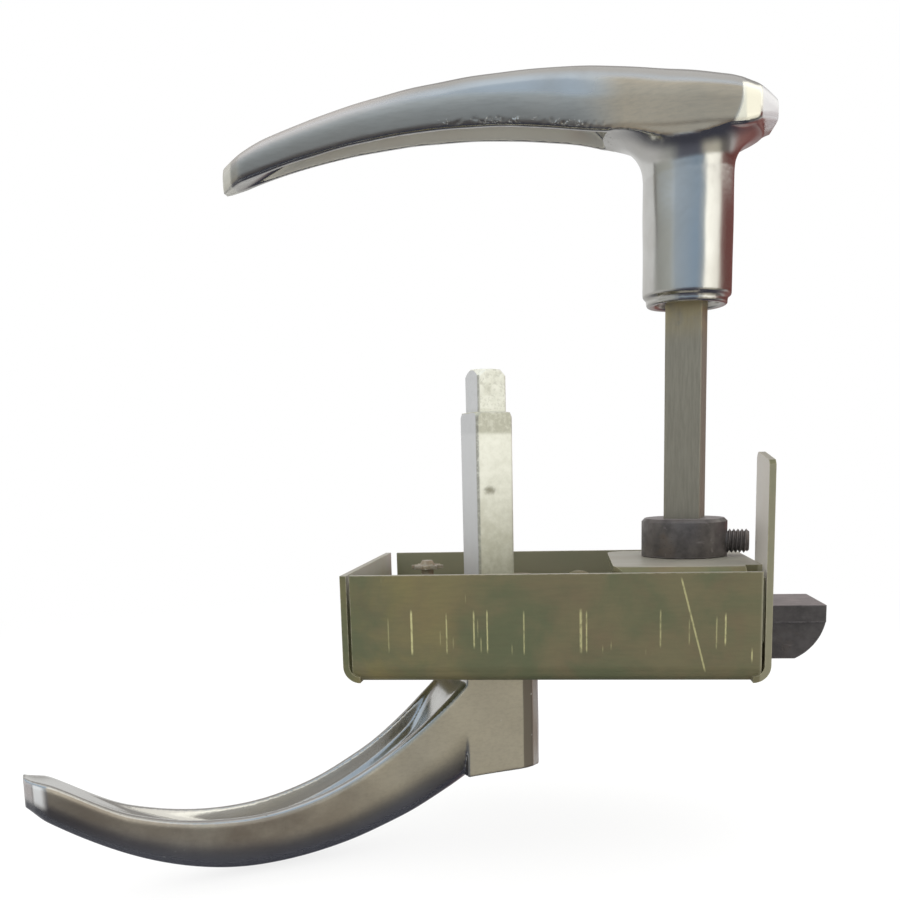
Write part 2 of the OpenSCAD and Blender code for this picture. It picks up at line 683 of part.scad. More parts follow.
// Inner follower: journal in the floor bush, body, and tenon for the crank, with a square hole.
module inner_follower() {
  color(dark) translate([inner_x, 0, 0]) difference() {
    union() {
      cylinder(d = inner_journal, h = crank_top);
      translate([0, 0, sheet + 1.6]) cylinder(d = inner_journal + 3, h = crank_z - sheet - 1.6);
    }
    rotate([0, 0, inner_turn]) translate([-inner_square / 2, -inner_square / 2, -1])
      cube([inner_square, inner_square, 40]);
  }
}

// Washer between the floor and the inner handle's boss.
module inner_washer() {
  color(steel) translate([inner_x, 0, inner_top]) difference() {
    cylinder(d = 23, h = -inner_top - 0.15);
    rotate([0, 0, inner_turn]) translate([-inner_square / 2, -inner_square / 2, -1])
      cube([inner_square, inner_square, 9]);
  }
}

lock_case();
bridge_bracket();
bridge_bush();
floor_bush();
spring_post();
spring_washer();
guide_post();
guide_washer();
return_spring();
latch_bolt();
slide_plate();
front_rivet();
rear_rivet();
outer_handle();
outer_spindle();
outer_follower();
set_screw();
outer_crank();
outer_crank_pin();
inner_handle();
inner_spindle();
inner_follower();
inner_washer();
inner_crank();
inner_crank_pin();
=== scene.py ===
# %% [markdown]
# # Dressing a tractor door lock
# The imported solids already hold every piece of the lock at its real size, so this
# lesson never moves them. It adds three things: smooth cast handles, turned and
# threaded details that flat solids only hint at, and finishes for every surface.
# Shapes are worked out in millimetres and become metres when a mesh is made.

# %% Load the frame
import functools
import math

import bpy
import numpy as np
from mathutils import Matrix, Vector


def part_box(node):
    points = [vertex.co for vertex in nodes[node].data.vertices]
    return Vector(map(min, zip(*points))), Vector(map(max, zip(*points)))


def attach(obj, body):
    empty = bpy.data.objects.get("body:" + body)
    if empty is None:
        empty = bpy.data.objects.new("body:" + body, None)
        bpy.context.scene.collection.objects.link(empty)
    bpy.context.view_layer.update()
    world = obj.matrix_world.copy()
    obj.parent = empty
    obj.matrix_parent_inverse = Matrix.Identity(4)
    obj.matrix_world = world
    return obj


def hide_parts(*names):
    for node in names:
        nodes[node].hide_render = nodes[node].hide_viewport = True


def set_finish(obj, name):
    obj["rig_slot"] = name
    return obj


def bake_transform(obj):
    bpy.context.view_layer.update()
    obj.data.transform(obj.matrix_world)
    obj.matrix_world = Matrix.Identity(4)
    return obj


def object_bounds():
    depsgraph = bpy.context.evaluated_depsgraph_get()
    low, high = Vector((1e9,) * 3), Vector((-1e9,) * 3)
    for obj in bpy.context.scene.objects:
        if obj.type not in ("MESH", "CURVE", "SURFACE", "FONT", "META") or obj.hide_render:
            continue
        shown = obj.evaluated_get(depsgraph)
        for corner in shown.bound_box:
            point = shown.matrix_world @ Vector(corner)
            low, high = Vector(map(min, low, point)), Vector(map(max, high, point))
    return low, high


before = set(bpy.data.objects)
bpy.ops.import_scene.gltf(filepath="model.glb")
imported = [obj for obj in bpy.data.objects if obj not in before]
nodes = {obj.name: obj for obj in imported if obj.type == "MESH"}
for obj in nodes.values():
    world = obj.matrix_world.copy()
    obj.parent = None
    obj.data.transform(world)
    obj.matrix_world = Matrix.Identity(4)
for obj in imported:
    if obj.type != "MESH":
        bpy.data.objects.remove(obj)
cad_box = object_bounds()
MM = 0.001
print("nodes in the frame:", len(nodes))

# %% [markdown]
# ## From arrays to meshes
# A surface here is a grid of points: one direction runs along the piece, the other
# runs round it. Neighbouring grid points make four-sided faces, and index arithmetic
# on whole arrays writes all of them at once. Two flat caps close the tube, so each
# grid is a small solid of its own and several can be melted into one casting.


# %% Grid helpers
def tube_faces(rows, columns, start):
    """Quads between rows i and i+1, columns j and j+1 (the last meets the first), then two end caps."""
    i, j = np.meshgrid(np.arange(rows - 1), np.arange(columns), indexing="ij")
    k = (j + 1) % columns
    quads = np.stack([i * columns + j, i * columns + k, (i + 1) * columns + k, (i + 1) * columns + j], -1)
    first = np.arange(columns)[::-1]
    last = (rows - 1) * columns + np.arange(columns)
    return (quads.reshape(-1, 4) + start).tolist() + [(first + start).tolist(), (last + start).tolist()]


def outward(grid):
    """The same grid, turned over if its volume, the sum of p dot (q cross r) over faces, is negative."""
    a, b = grid[:-1], np.roll(grid[:-1], -1, 1)
    c, d = np.roll(grid[1:], -1, 1), grid[1:]
    volume = np.sum(a * np.cross(b, c)) + np.sum(a * np.cross(c, d))
    low, high = grid[0], grid[-1]
    volume += np.sum(low.mean(0) * np.cross(np.roll(low, -1, 0), low))
    volume += np.sum(high.mean(0) * np.cross(high, np.roll(high, -1, 0)))
    return grid if volume > 0 else grid[:, ::-1]


def placed(name, data):
    """A new object with this data, linked to the scene."""
    piece = bpy.data.objects.new(name, data)
    bpy.context.scene.collection.objects.link(piece)
    return piece


def solid(name, grids):
    """One object from several closed grids, given in millimetres and stored in metres at the origin."""
    points, faces = [], []
    for grid in grids:
        grid = outward(grid)
        faces += tube_faces(grid.shape[0], grid.shape[1], sum(len(p) for p in points))
        points.append(grid.reshape(-1, 3))
    mesh = bpy.data.meshes.new(name)
    mesh.from_pydata((np.concatenate(points) * MM).tolist(), [], faces)
    mesh.validate()
    mesh.shade_smooth()
    return placed(name, mesh)


def full_turn(columns):
    """Angles of a full turn in equal steps, without the last one, which would meet the first."""
    return np.linspace(0, 2 * np.pi, columns, endpoint=False)


def turned(points, axis_x, degrees):
    """Points turned about the upright axis by an angle, then set on the spindle at axis_x."""
    a = math.radians(degrees)
    x, y, z = points[..., 0], points[..., 1], points[..., 2]
    return np.stack([axis_x + x * math.cos(a) - y * math.sin(a), x * math.sin(a) + y * math.cos(a), z], -1)


def revolved(profile, columns=96):
    """A profile of (radius, height) rows carried round the upright axis: x = r cos v, y = r sin v, z = h."""
    profile = np.array(profile, float)
    v = full_turn(columns)
    r, h = profile[:, :1], profile[:, 1:]
    return np.stack([r * np.cos(v), r * np.sin(v), h + 0 * v], -1)


def baked(piece):
    """Replaces the mesh by what its modifiers make of it, so that the piece keeps no live modifier."""
    graph = bpy.context.evaluated_depsgraph_get()
    mesh = bpy.data.meshes.new_from_object(piece.evaluated_get(graph))
    piece.modifiers.clear()
    piece.data = mesh
    mesh.shade_smooth()
    return piece


CELL, EVEN_FACTOR, EVEN_ROUNDS = 0.36, 0.5, 3


def melted(piece):
    """Fuses overlapping closed grids into one skin of small cells and evens it out, as a casting is."""
    melt = piece.modifiers.new("melt", "REMESH")
    melt.mode = "VOXEL"
    melt.voxel_size = CELL * MM
    even = piece.modifiers.new("even", "SMOOTH")
    even.factor = EVEN_FACTOR
    even.iterations = EVEN_ROUNDS
    return baked(piece)


def sunk(piece, depth_at, *values):
    """Moves every point inwards along its normal by depth_at(points, values), all in millimetres."""
    count = 3 * len(piece.data.vertices)
    place, normal = np.empty(count, np.float32), np.empty(count, np.float32)
    piece.data.vertices.foreach_get("co", place)
    piece.data.vertices.foreach_get("normal", normal)
    place = place.reshape(-1, 3).astype(float) / MM
    place -= normal.reshape(-1, 3).astype(float) * depth_at(place, *values)[:, None]
    piece.data.vertices.foreach_set("co", (place * MM).astype(np.float32).ravel())
    piece.data.update()


def dents(place, marks):
    """Bell-shaped dents: depth times exp(-(distance / radius)^2), summed over the marks.
    A mark is a row of x, y, z, radius and depth."""
    far = np.linalg.norm(place[:, None, :] - marks[None, :, :3], axis=2) / marks[:, 3]
    return np.sum(marks[:, 4] * np.exp(-far**2), axis=1)


def ripples(place, depth):
    """Hand-polished waviness: depth times (1 + the mean of three crossing sine waves) / 2."""
    waves = np.array([[0.31, 0.12, 0.38], [-0.17, 0.41, 0.29], [0.46, -0.22, 0.11]])
    return depth * (1 + np.sin(place @ waves.T + [0.4, 2.1, 4.0]).mean(axis=1)) / 2


def announce(piece, body, slot, *replaced):
    """Seats a piece on its body, if one is named, names its finish, hides the solids that it replaces, and
    prints its size.
    """
    if body:
        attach(piece, body)
    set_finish(piece, slot)
    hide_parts(*replaced)
    size = [round(d / MM, 1) for d in piece.dimensions]
    print(piece.name, "mm:", size, "faces:", len(piece.data.polygons))


# %% [markdown]
# ## The shape of a cast lever
# Both levers are hollow-backed castings: a rounded crown on the show side, two flanks,
# and a channel between two rims on the other side. A side view gives the crown line
# and the rim line, a top view gives the half width, and one half section joins them.
# Carrying that section along the lever is easier to read than pushing a box about.


# %% Lever section
RIM_THICK = 2.3


def ease(x, a, b):
    """Smooth step: 0 up to a, 1 from b, and t squared times (3 - 2t) between them."""
    t = np.clip((x - a) / (b - a), 0, 1)
    return t * t * (3 - 2 * t)


def sag(d, r):
    """Drop of a circle of radius r at distance d from its top: r minus the root of r squared - d squared."""
    return r - np.sqrt(r * r - d * d)


def half_section(w, h, c, crown_points=19):
    """Half ring from crown to rim to channel, for half width w, height h and channel depth c.
    Across: w sin(a) on the crown, then the rim's width and the channel wall. Along the height:
    0.58 h (1 - cos a) on the crown, h at the rim and h less c at the middle."""
    edge = np.minimum(RIM_THICK, 0.6 * w)
    sign, g = np.sign(h), np.abs(h)
    a = np.linspace(0, np.pi / 2, crown_points)
    across = [w * k for k in np.sin(a)]
    down = [0.58 * g * (1 - k) for k in np.cos(a)]
    across += [w, w - 0.35, w - np.minimum(1, 0.2 * w), w - edge, w - edge - np.minimum(0.6, 0.1 * w)]
    down += [g - np.minimum(1.2, 0.2 * g), g - np.minimum(0.35, 0.06 * g), g, g, g - 0.7 * c]
    across += [np.maximum(w - edge - 2, 0.12 * w), 0 * w]
    down += [g - c, g - c]
    return np.stack(across, 1), sign[:, None] * np.stack(down, 1)


def lever_grid(s, crown, rim, width, channel):
    """Full rings at distances s from the spindle: half section and mirror image, hung from the crown line."""
    across, height = half_section(width, rim - crown, channel)
    ring_y = np.concatenate([across, -across[:, -2:0:-1]], 1)
    ring_z = crown[:, None] + np.concatenate([height, height[:, -2:0:-1]], 1)
    return np.stack([np.repeat(-s[:, None], ring_y.shape[1], 1), ring_y, ring_z], -1)


# %% [markdown]
# ## Outer handle
# On the real lock this is one plated casting: a lever that bends down to its tip, a
# blunt bevelled head over the spindle, a flared neck and a round boss with a spigot.
# The lever is a carried section, the boss a turned profile and the neck a stack of
# fillet rings. Melting the three into one skin gives the soft fillet that a casting has
# and that a plain overlap lacks.

# %% Outer lever lines
OUTER_X = 33
HEAD_REACH, HEAD_HALF, NECK_HALF = 20, 13.6, 7
OUTER_TIP, OUTER_TIP_HALF = 114.5, 4.6
CROWN_Z, CROWN_S, CROWN_BEND = 144, 30, 218
RIM_Z, RIM_S, RIM_BEND = 129.8, 52, 180
BOSS_R, BOSS_Z, SPIGOT_Z = 10.9, 89.9, 87.7
FLARE_R, FLARE_LOW, FLARE_HIGH = 8, RIM_Z - 14, RIM_Z - 1.6
CHANNEL, OUTER_WAVE = 5, 0.16


def outer_half(s):
    """Half width: bevelled in steps behind the spindle, eased along the lever, cut in facets at the tip."""
    head = HEAD_HALF * np.interp(HEAD_REACH + s, [0, 4.4, 5.4, 8.7], [0.42, 0.82, 0.89, 1])
    run = HEAD_HALF - (HEAD_HALF - NECK_HALF) * ease(s, -4, 30)
    run = run - (NECK_HALF - OUTER_TIP_HALF) * ease(s, 40, 112)
    return np.where(s < -4, head, run - np.interp(OUTER_TIP - s, [0, 2.6, 4.8], [2.6, 1, 0]))


def outer_crown(s):
    """Crown line: a large circle, eased down over the head, less a parabola at its back and at the tip."""
    back = ease(-s, -24, -4) + 0.7 * ease(-s, 8, 14) + 0.028 * np.maximum(-s - 11, 0) ** 2
    tip = 2.2 * (np.maximum(s - OUTER_TIP + 11.6, 0) / 11.6) ** 2
    return CROWN_Z - sag(s - CROWN_S, CROWN_BEND) - back - tip


def outer_rim(s):
    """Rim line: a tighter circle that runs level under the head, with small steps at neck, head and tip."""
    line = RIM_Z - sag(np.maximum(s, 20) - RIM_S, RIM_BEND) - 1.6 * ease(20 - s, 0, 16)
    return line + 2.6 * ease(-s, 10, HEAD_REACH) - 0.3 * ease(s, OUTER_TIP - 6, OUTER_TIP)


def outer_channel(s):
    """Channel depth: opens past the neck and fades out before the tip."""
    return 0.05 + CHANNEL * ease(s, 15, 26) * (1 - ease(s, 84, 112))


def neck_flare(columns=160):
    """Fillet rings from boss to head: quarter circles of radius f = 8 - 1.45 cos v at the compass angle v.
    Ring a has r = boss + f (1 - cos a) and z = top - f + f sin a, and is never wider than the head."""
    v = full_turn(columns)
    a = np.linspace(0, np.pi / 2, 14)[:, None]
    f = FLARE_R - 1.45 * np.cos(v)
    r = BOSS_R + 0.1 + f * (1 - np.cos(a))
    x = r * np.cos(v)
    reach = outer_half(-x) - 0.15
    y = np.clip(r * np.sin(v), -reach, reach)
    z = RIM_Z - 3.3 - 0.45 * np.cos(v) - f + f * np.sin(a)
    x, y = (np.concatenate([0.95 * k[:1], k, k[-1:]]) for k in (x, y))
    z = np.concatenate([0 * v[None] + FLARE_LOW, z, 0 * v[None] + FLARE_HIGH])
    return np.stack([x, y, z], -1)


# %% Outer handle mesh
s = np.concatenate([np.linspace(-HEAD_REACH, -8, 40), np.linspace(-7.5, OUTER_TIP - 5, 150),
                    np.linspace(OUTER_TIP - 4.6, OUTER_TIP, 16)])
outer_lever = lever_grid(s, outer_crown(s), outer_rim(s), outer_half(s), outer_channel(s))

boss_profile = [(0.01, SPIGOT_Z + 2), (7.2, SPIGOT_Z + 2), (7.6, SPIGOT_Z + 0.3), (9.4, SPIGOT_Z),
                (9.9, SPIGOT_Z + 0.5), (9.9, BOSS_Z - 0.2), (10.55, BOSS_Z), (BOSS_R - 0.1, BOSS_Z + 0.3),
                (BOSS_R + 0.1, FLARE_HIGH), (0.01, FLARE_HIGH)]
outer_boss = revolved(boss_profile, 160)

outer_handle = solid("outer_handle_cast", [turned(grid, OUTER_X, 0)
                                           for grid in (outer_lever, outer_boss, neck_flare())])
sunk(melted(outer_handle), ripples, OUTER_WAVE)

# %% [markdown]
# The near rim of the real lever shows a string of small casting pits where the plating
# never closed. Each pit is a shallow bell-shaped dent, so it catches light as a real
# hollow does. A fixed seed keeps the string the same on every run.

# %% Casting pits of the outer lever
rng = np.random.default_rng(7)
pit_s = np.concatenate([rng.uniform(20, 36, 26), rng.uniform(41, 57, 34)])
pit_z = outer_rim(pit_s) + rng.uniform(0.0, 1.7, 60)
pits = np.stack([OUTER_X - pit_s, -outer_half(pit_s) + 0.1, pit_z,
                 rng.uniform(0.28, 0.42, 60), rng.uniform(0.08, 0.18, 60)], 1)
sunk(outer_handle, dents, pits)
announce(outer_handle, "outer_lever", "handle_metal", "outer_handle")

# %% [markdown]
# ## Inner handle
# The inner handle is a sister casting that dips below the case. Its boss is a block
# with two shallow bevels on each flank, and the channel lies on top of the lever.
# The same section function works upside down, because the rim lies above the crown.

# %% Inner lever lines
INNER_X, INNER_TURN = -17, 30
INNER_TOP, INNER_BOSS_Z = -2.4, -28.5
INNER_BOSS_HALF, INNER_BOSS_BACK = 9, 10.7
BELLY_Z, BELLY_S = -44.5, 61
INNER_RIM_Z, INNER_RIM_S = -30.4, 67
INNER_TIP, INNER_ROOT_HALF, INNER_TIP_HALF = 113.5, 7.8, 4.8
INNER_WAVE = 0.14


def inner_crown(s):
    """Belly line: two parabolas that meet at the lowest point, bevelled upwards at the tip."""
    bend = np.where(s < BELLY_S, 0.0052, 0.008)
    return BELLY_Z + bend * (s - BELLY_S) ** 2 + 0.8 * ease(s, INNER_TIP - 4, INNER_TIP)


def inner_rim(s):
    """Rim line: two parabolas above the belly and a small rise before the tip, kept below the boss's top."""
    bend = np.where(s < INNER_RIM_S, 0.0085, 0.0073)
    rise = 1.6 * ease(s, INNER_TIP - 22, INNER_TIP - 6) - 1.3 * ease(s, INNER_TIP - 6, INNER_TIP)
    return np.minimum(INNER_RIM_Z + bend * (s - INNER_RIM_S) ** 2 + rise, INNER_TOP - 0.4)


def inner_half(s):
    """Half width: level with the boss at the root, eased down in two steps, cut in two facets at the tip."""
    run = INNER_BOSS_HALF - (INNER_BOSS_HALF - INNER_ROOT_HALF) * ease(s, 12, 34)
    run = run - (INNER_ROOT_HALF - INNER_TIP_HALF) * ease(s, 30, 112)
    return run - np.interp(INNER_TIP - s, [0, 1.8, 4.2], [2.6, 1.1, 0])


def inner_channel(s):
    """Channel depth: opens beyond the boss and fades out before the tip."""
    return 0.05 + (CHANNEL + 0.6) * ease(s, 12, 22) * (1 - ease(s, 60, 104))


# %% Inner handle mesh
s = np.concatenate([np.linspace(0, INNER_TIP - 5, 150), np.linspace(INNER_TIP - 4.6, INNER_TIP, 16)])
inner_lever = lever_grid(s, inner_crown(s), inner_rim(s), inner_half(s), inner_channel(s))

h, b = INNER_BOSS_HALF, INNER_BOSS_BACK
flank = np.array([[-11, h], [b - 5.8, h], [b - 2.9, h - 0.6], [b, h - 2.2]])
plan = np.concatenate([flank, flank[::-1] * [1, -1]])
levels = np.array([INNER_BOSS_Z, INNER_TOP])
inner_boss = np.stack([np.broadcast_to(plan[:, 0], (2, 8)), np.broadcast_to(plan[:, 1], (2, 8)),
                       np.broadcast_to(levels[:, None], (2, 8))], -1)
inner_handle = solid("inner_handle_cast", [turned(inner_lever, INNER_X, INNER_TURN),
                                           turned(inner_boss, INNER_X, INNER_TURN)])
sunk(melted(inner_handle), ripples, INNER_WAVE)
announce(inner_handle, "inner_lever", "handle_metal", "inner_handle")

# %% [markdown]
# ## Square spindles
# A spindle is a square bar whose corners are a little rounded and, on the inner one,
# turned away on a lathe at the shoulder and the tip. In polar form a square is its half
# width over a power mean of cosine and sine, and a turned cone is a limit on that radius.


# %% Spindle surface
def square_bar(z, half, limit, columns=160):
    """Rounded square of radius half / (|cos|^p + |sin|^p)^(1/p), never beyond the limit at that height."""
    power = 26
    v = full_turn(columns)
    shape = (np.abs(np.cos(v)) ** power + np.abs(np.sin(v)) ** power) ** (-1 / power)
    r = np.minimum(half[:, None] * shape, limit[:, None])
    return np.stack([r * np.cos(v), r * np.sin(v), z[:, None] + 0 * v], -1)


INNER_SQUARE, TIP_SQUARE, TIP_TOP, TIP_LENGTH = 10, 7.8, 74, 10.6
shoulder = TIP_TOP - TIP_LENGTH
z = np.concatenate([np.linspace(INNER_BOSS_Z + 8, shoulder - 5.2, 60),
                    np.linspace(shoulder - 5, shoulder, 14),
                    np.linspace(shoulder + 0.02, TIP_TOP - 2.1, 20), np.linspace(TIP_TOP - 2, TIP_TOP, 8)])
half = np.where(z <= shoulder, INNER_SQUARE / 2, TIP_SQUARE / 2)
limit = np.where(z <= shoulder, np.interp(z, [shoulder - 2, shoulder], [7.3, 6.2]),
                 np.interp(z, [TIP_TOP - 2, TIP_TOP], [5.6, 3.8]))
inner_bar = solid("inner_spindle_bar", [turned(square_bar(z, half, limit), INNER_X, INNER_TURN)])
announce(inner_bar, "inner_lever", "bright_zinc", "inner_spindle")

# %% Outer spindle
OUTER_SQUARE, OUTER_FLAT_TURN = 9, -16
low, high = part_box("outer_spindle")
z = np.linspace(low[2] / MM, high[2] / MM, 90)
outer_bar = solid("outer_spindle_bar", [turned(square_bar(z, 0 * z + OUTER_SQUARE / 2, 0 * z + 9),
                                               OUTER_X, OUTER_FLAT_TURN)])
announce(outer_bar, "outer_lever", "grey_spindle", "outer_spindle")

# %% [markdown]
# ## Set screw
# The set screw stands out of the collar and shows its thread. A thread is a surface of
# two parameters: the radius depends on the height along the screw plus the share of a
# turn, so the ridge climbs one pitch per turn. The end carries a small hexagon socket.

# %% Threaded set screw
SCREW_R, PITCH, THREAD_DEPTH = 3, 1, 0.55
SCREW_START, SCREW_REACH, SCREW_Z = 4.98, 16, 30.3
COLLAR_R, END_R = 10.7, 2.35
SOCKET_R, SOCKET_DEPTH = 1.5, 1.8
v = full_turn(72)
along = np.linspace(SCREW_START, SCREW_REACH - 0.5, 190)
phase = (along[:, None] / PITCH + v / (2 * np.pi)) % 1
ridge = np.abs(2 * phase - 1)
cut = THREAD_DEPTH * np.clip(1.25 * ridge - 0.12, 0, 1) * (along[:, None] > COLLAR_R)
body_r = SCREW_R - cut
hexagon = SOCKET_R * math.cos(math.pi / 6) / np.cos((v + math.pi / 6) % (math.pi / 3) - math.pi / 6)
end_r = np.stack([0 * v + END_R, hexagon + 0.1, hexagon, 0.02 * hexagon])
end_x = SCREW_REACH - np.array([0, 0, SOCKET_DEPTH, SOCKET_DEPTH + 0.1])
r = np.concatenate([body_r, end_r])
x = np.concatenate([along, end_x])[:, None] + 0 * v
screw = np.stack([x, r * np.cos(v), SCREW_Z + r * np.sin(v)], -1)
set_screw = solid("set_screw_thread", [turned(screw, OUTER_X, OUTER_FLAT_TURN / 2)])
announce(set_screw, "outer_lever", "dark_steel", "set_screw")

# %% [markdown]
# ## Return spring
# The spring is a torsion coil of round wire on its post, with one leg against the wall
# and one on the slide. The wire is a circle carried along the coil's centre line: the
# line's direction comes from differences of neighbouring points, and two directions
# square to it place the circle.

# %% Return spring wire
WIRE, COIL_R, TURNS = 1.6, 4.6, 3.925
POST_X, POST_Y = -33.5, 3
COIL_HIGH, COIL_LOW = 20.4, 13.05
WALL_X, SLIDE_X, SLIDE_Y = -47.15, -18.9, 15.5
k = np.linspace(0, 1, 360)
angle = np.pi / 2 - 2 * np.pi * TURNS * k
coil = np.stack([POST_X + COIL_R * np.cos(angle), POST_Y + COIL_R * np.sin(angle),
                 COIL_HIGH - (COIL_HIGH - COIL_LOW) * k], 1)
wall_end = np.array([WALL_X, POST_Y + COIL_R, COIL_HIGH])
slide_end = np.array([SLIDE_X, SLIDE_Y, COIL_LOW])
t = np.linspace(0, 1, 20)[:, None]
line = np.concatenate([wall_end + (coil[0] - wall_end) * t[:-1], coil,
                       coil[-1] + (slide_end - coil[-1]) * t[1:]])
ahead = np.gradient(line, axis=0)
ahead /= np.linalg.norm(ahead, axis=1)[:, None]
side = np.cross(ahead, [0.02, 0.03, 1])
side /= np.linalg.norm(side, axis=1)[:, None]
over = np.cross(ahead, side)
v = full_turn(16)[None, :, None]
wire = line[:, None] + WIRE / 2 * (np.cos(v) * side[:, None] + np.sin(v) * over[:, None])
spring = solid("return_spring_wire", [wire])
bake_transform(spring)
announce(spring, None, "spring_steel", "return_spring")

# %% [markdown]
# ## Softened edges on the carried-over solids
# Sheet and turned parts never have razor edges. All solids that stay in view, apart from
# rivets and pins, get two live modifiers: Weld joins their loose triangles, and Bevel
# rounds what is sharp, so that edges pick up a thin line of light. Their own meshes are
# left as they are.

# %% Bevel the solids
EDGE = {"lock_case": 0.22, "bridge_bracket": 0.3, "latch_bolt": 0.35, "outer_follower": 0.15,
        "slide_plate": 0.2, "outer_crank": 0.25, "inner_crank": 0.25, "inner_follower": 0.2,
        "inner_washer": 0.25,
        "guide_post": 0.2, "guide_washer": 0.2, "spring_post": 0.2, "spring_washer": 0.15,
        "bridge_bush": 0.15, "floor_bush": 0.15}
WELD_GAP, ROUND_STEPS, SHARP = 0.005, 2, 35
for name, width in EDGE.items():
    weld = nodes[name].modifiers.new("weld", "WELD")
    weld.merge_threshold = WELD_GAP * MM
    bevel = nodes[name].modifiers.new("edge", "BEVEL")
    bevel.width = width * MM
    bevel.segments = ROUND_STEPS
    bevel.limit_method = "ANGLE"
    bevel.angle_limit = math.radians(SHARP)
    bevel.harden_normals = False
print("bevelled solids:", len(EDGE))

# %% [markdown]
# ## Building blocks for finishes
# A finish is a small network of shader nodes. A wire here stands for what comes out of
# one node, and plain arithmetic on wires adds the nodes that work it out, so a mask
# reads like its formula. Places are in metres, as Blender has them.


# %% Wires and nodes
class Wire:
    """What comes out of a node. Arithmetic on wires adds Math nodes to the tree that they are in."""

    def __init__(self, socket):
        self.socket = socket
        self.tree = socket.id_data

    def math(self, operation, other=0.0):
        """One Math node with this wire first."""
        return add(self.tree, "ShaderNodeMath", {0: self, 1: other}, operation=operation)

    def __add__(self, other):
        return self.math("ADD", other)

    def __sub__(self, other):
        return self.math("SUBTRACT", other)

    def __rsub__(self, other):
        return add(self.tree, "ShaderNodeMath", {0: other, 1: self}, operation="SUBTRACT")

    def __mul__(self, other):
        return self.math("MULTIPLY", other)

    def __truediv__(self, other):
        return self.math("DIVIDE", other)

    def __abs__(self):
        return self.math("ABSOLUTE")

    def vector(self, operation, other=(0.0, 0.0, 0.0), out=0):
        """One Vector Math node with this wire first."""
        return add(self.tree, "ShaderNodeVectorMath", {0: self, 1: other}, out, operation=operation)

    def dot(self, direction):
        """The part of a vector along a direction."""
        return self.vector("DOT_PRODUCT", direction, "Value")

    def scaled(self, scale):
        """A vector multiplied by a scale along X, Y and Z."""
        return self.vector("MULTIPLY", scale)

    def axes(self):
        """The X, Y and Z parts of a vector."""
        node = add(self.tree, "ShaderNodeSeparateXYZ", {0: self}).socket.node
        return [Wire(socket) for socket in node.outputs]

    def step(self, low, high, to_low=0.0, to_high=1.0):
        """Maps low..high to to_low..to_high on a smooth step, and holds the ends."""
        inputs = {"Value": self, "From Min": low, "From Max": high, "To Min": to_low, "To Max": to_high}
        return add(self.tree, "ShaderNodeMapRange", inputs, interpolation_type="SMOOTHSTEP")

    def choose(self, a, b):
        """Number a where this wire is 0, number b where it is 1."""
        return add(self.tree, "ShaderNodeMix", {0: self, 2: a, 3: b})

    def blend(self, a, b):
        """Colour a where this wire is 0, colour b where it is 1."""
        return add(self.tree, "ShaderNodeMix", {0: self, 6: a, 7: b}, 2, data_type="RGBA")

    def into(self, socket):
        """Links this wire to a node's input."""
        self.tree.links.new(self.socket, socket)


def add(tree, kind, inputs=None, out=0, **settings):
    """Adds a node and returns one of its outputs. An input given as a wire is linked, any other is set."""
    node = tree.nodes.new(kind)
    for key, value in settings.items():
        setattr(node, key, value)
    for key, value in (inputs or {}).items():
        if isinstance(value, Wire):
            value.into(node.inputs[key])
        else:
            node.inputs[key].default_value = value
    return Wire(node.outputs[out])


def largest(wires):
    """The largest of several wires, by a chain of Math nodes."""
    return functools.reduce(lambda a, b: a.math("MAXIMUM", b), wires)


def noise(vector, scale, detail=4.0, rough=0.55, bend=0.0):
    """Smooth noise between 0 and 1."""
    inputs = {"Vector": vector, "Scale": scale, "Detail": detail, "Roughness": rough, "Distortion": bend}
    return add(vector.tree, "ShaderNodeTexNoise", inputs, "Fac")


def shared_group(name, inputs, output):
    """An empty shader node group with a Vector input, named number inputs and one number output."""
    tree = bpy.data.node_groups.new(name, "ShaderNodeTree")
    tree.interface.new_socket("Vector", in_out="INPUT", socket_type="NodeSocketVector")
    for key, value in inputs.items():
        tree.interface.new_socket(key, in_out="INPUT", socket_type="NodeSocketFloat").default_value = value
    tree.interface.new_socket(output, in_out="OUTPUT", socket_type="NodeSocketFloat")
    given = tree.nodes.new("NodeGroupInput").outputs
    result = tree.nodes.new("NodeGroupOutput").inputs[0]
    return tree, [Wire(given[key]) for key in ("Vector", *inputs)], result


def effect(group, vector, **values):
    """Places a shared group in a material with its own values."""
    return add(vector.tree, "ShaderNodeGroup", {"Vector": vector} | values, node_tree=group)


def srgb(r, g, b):
    """A colour as it is read off a screen, 0 to 255, turned into the linear values that shaders take."""
    c = np.array([r, g, b]) / 255
    return (*np.where(c < 0.04045, c / 12.92, ((c + 0.055) / 1.055) ** 2.4).tolist(), 1.0)


# %% [markdown]
# ## Shared effects
# Five effects turn up on several finishes or many times on one, so each is a node group.
# Edge wear compares the true normal with one that is averaged over a small radius: they
# differ only near an edge. Stains are broad noise with a threshold, and scuffs are finer
# noise that is read at stretched coordinates. Pits are the cores of random cells, kept
# only where a second noise allows them. A scratch is a thin line that fades at its ends.

# %% Edge wear group
edge_wear, (place, reach, breakup), wear = shared_group(
    "edge_wear", {"Radius": 0.0006, "Breakup": 900.0}, "Wear")
soft = add(edge_wear, "ShaderNodeBevel", {"Radius": reach}, samples=6)
true = add(edge_wear, "ShaderNodeNewGeometry", out="Normal")
edge = (1.0 - soft.dot(true)).step(0.01, 0.16)
(edge * noise(place, breakup).step(0.3, 0.62)).into(wear)

# %% Stain, scuff, pit and scratch groups
stain, (place, scale, low, high), out = shared_group(
    "stain", {"Scale": 60.0, "Low": 0.45, "High": 0.65}, "Stain")
noise(place, scale, 5.0, 0.6, 0.4).step(low, high).into(out)

scuff, (place, scale, low, high), out = shared_group(
    "scuff", {"Scale": 300.0, "Low": 0.6, "High": 0.72}, "Scuff")
noise(place, scale, 3.0, 0.5, 0.2).step(low, high).into(out)

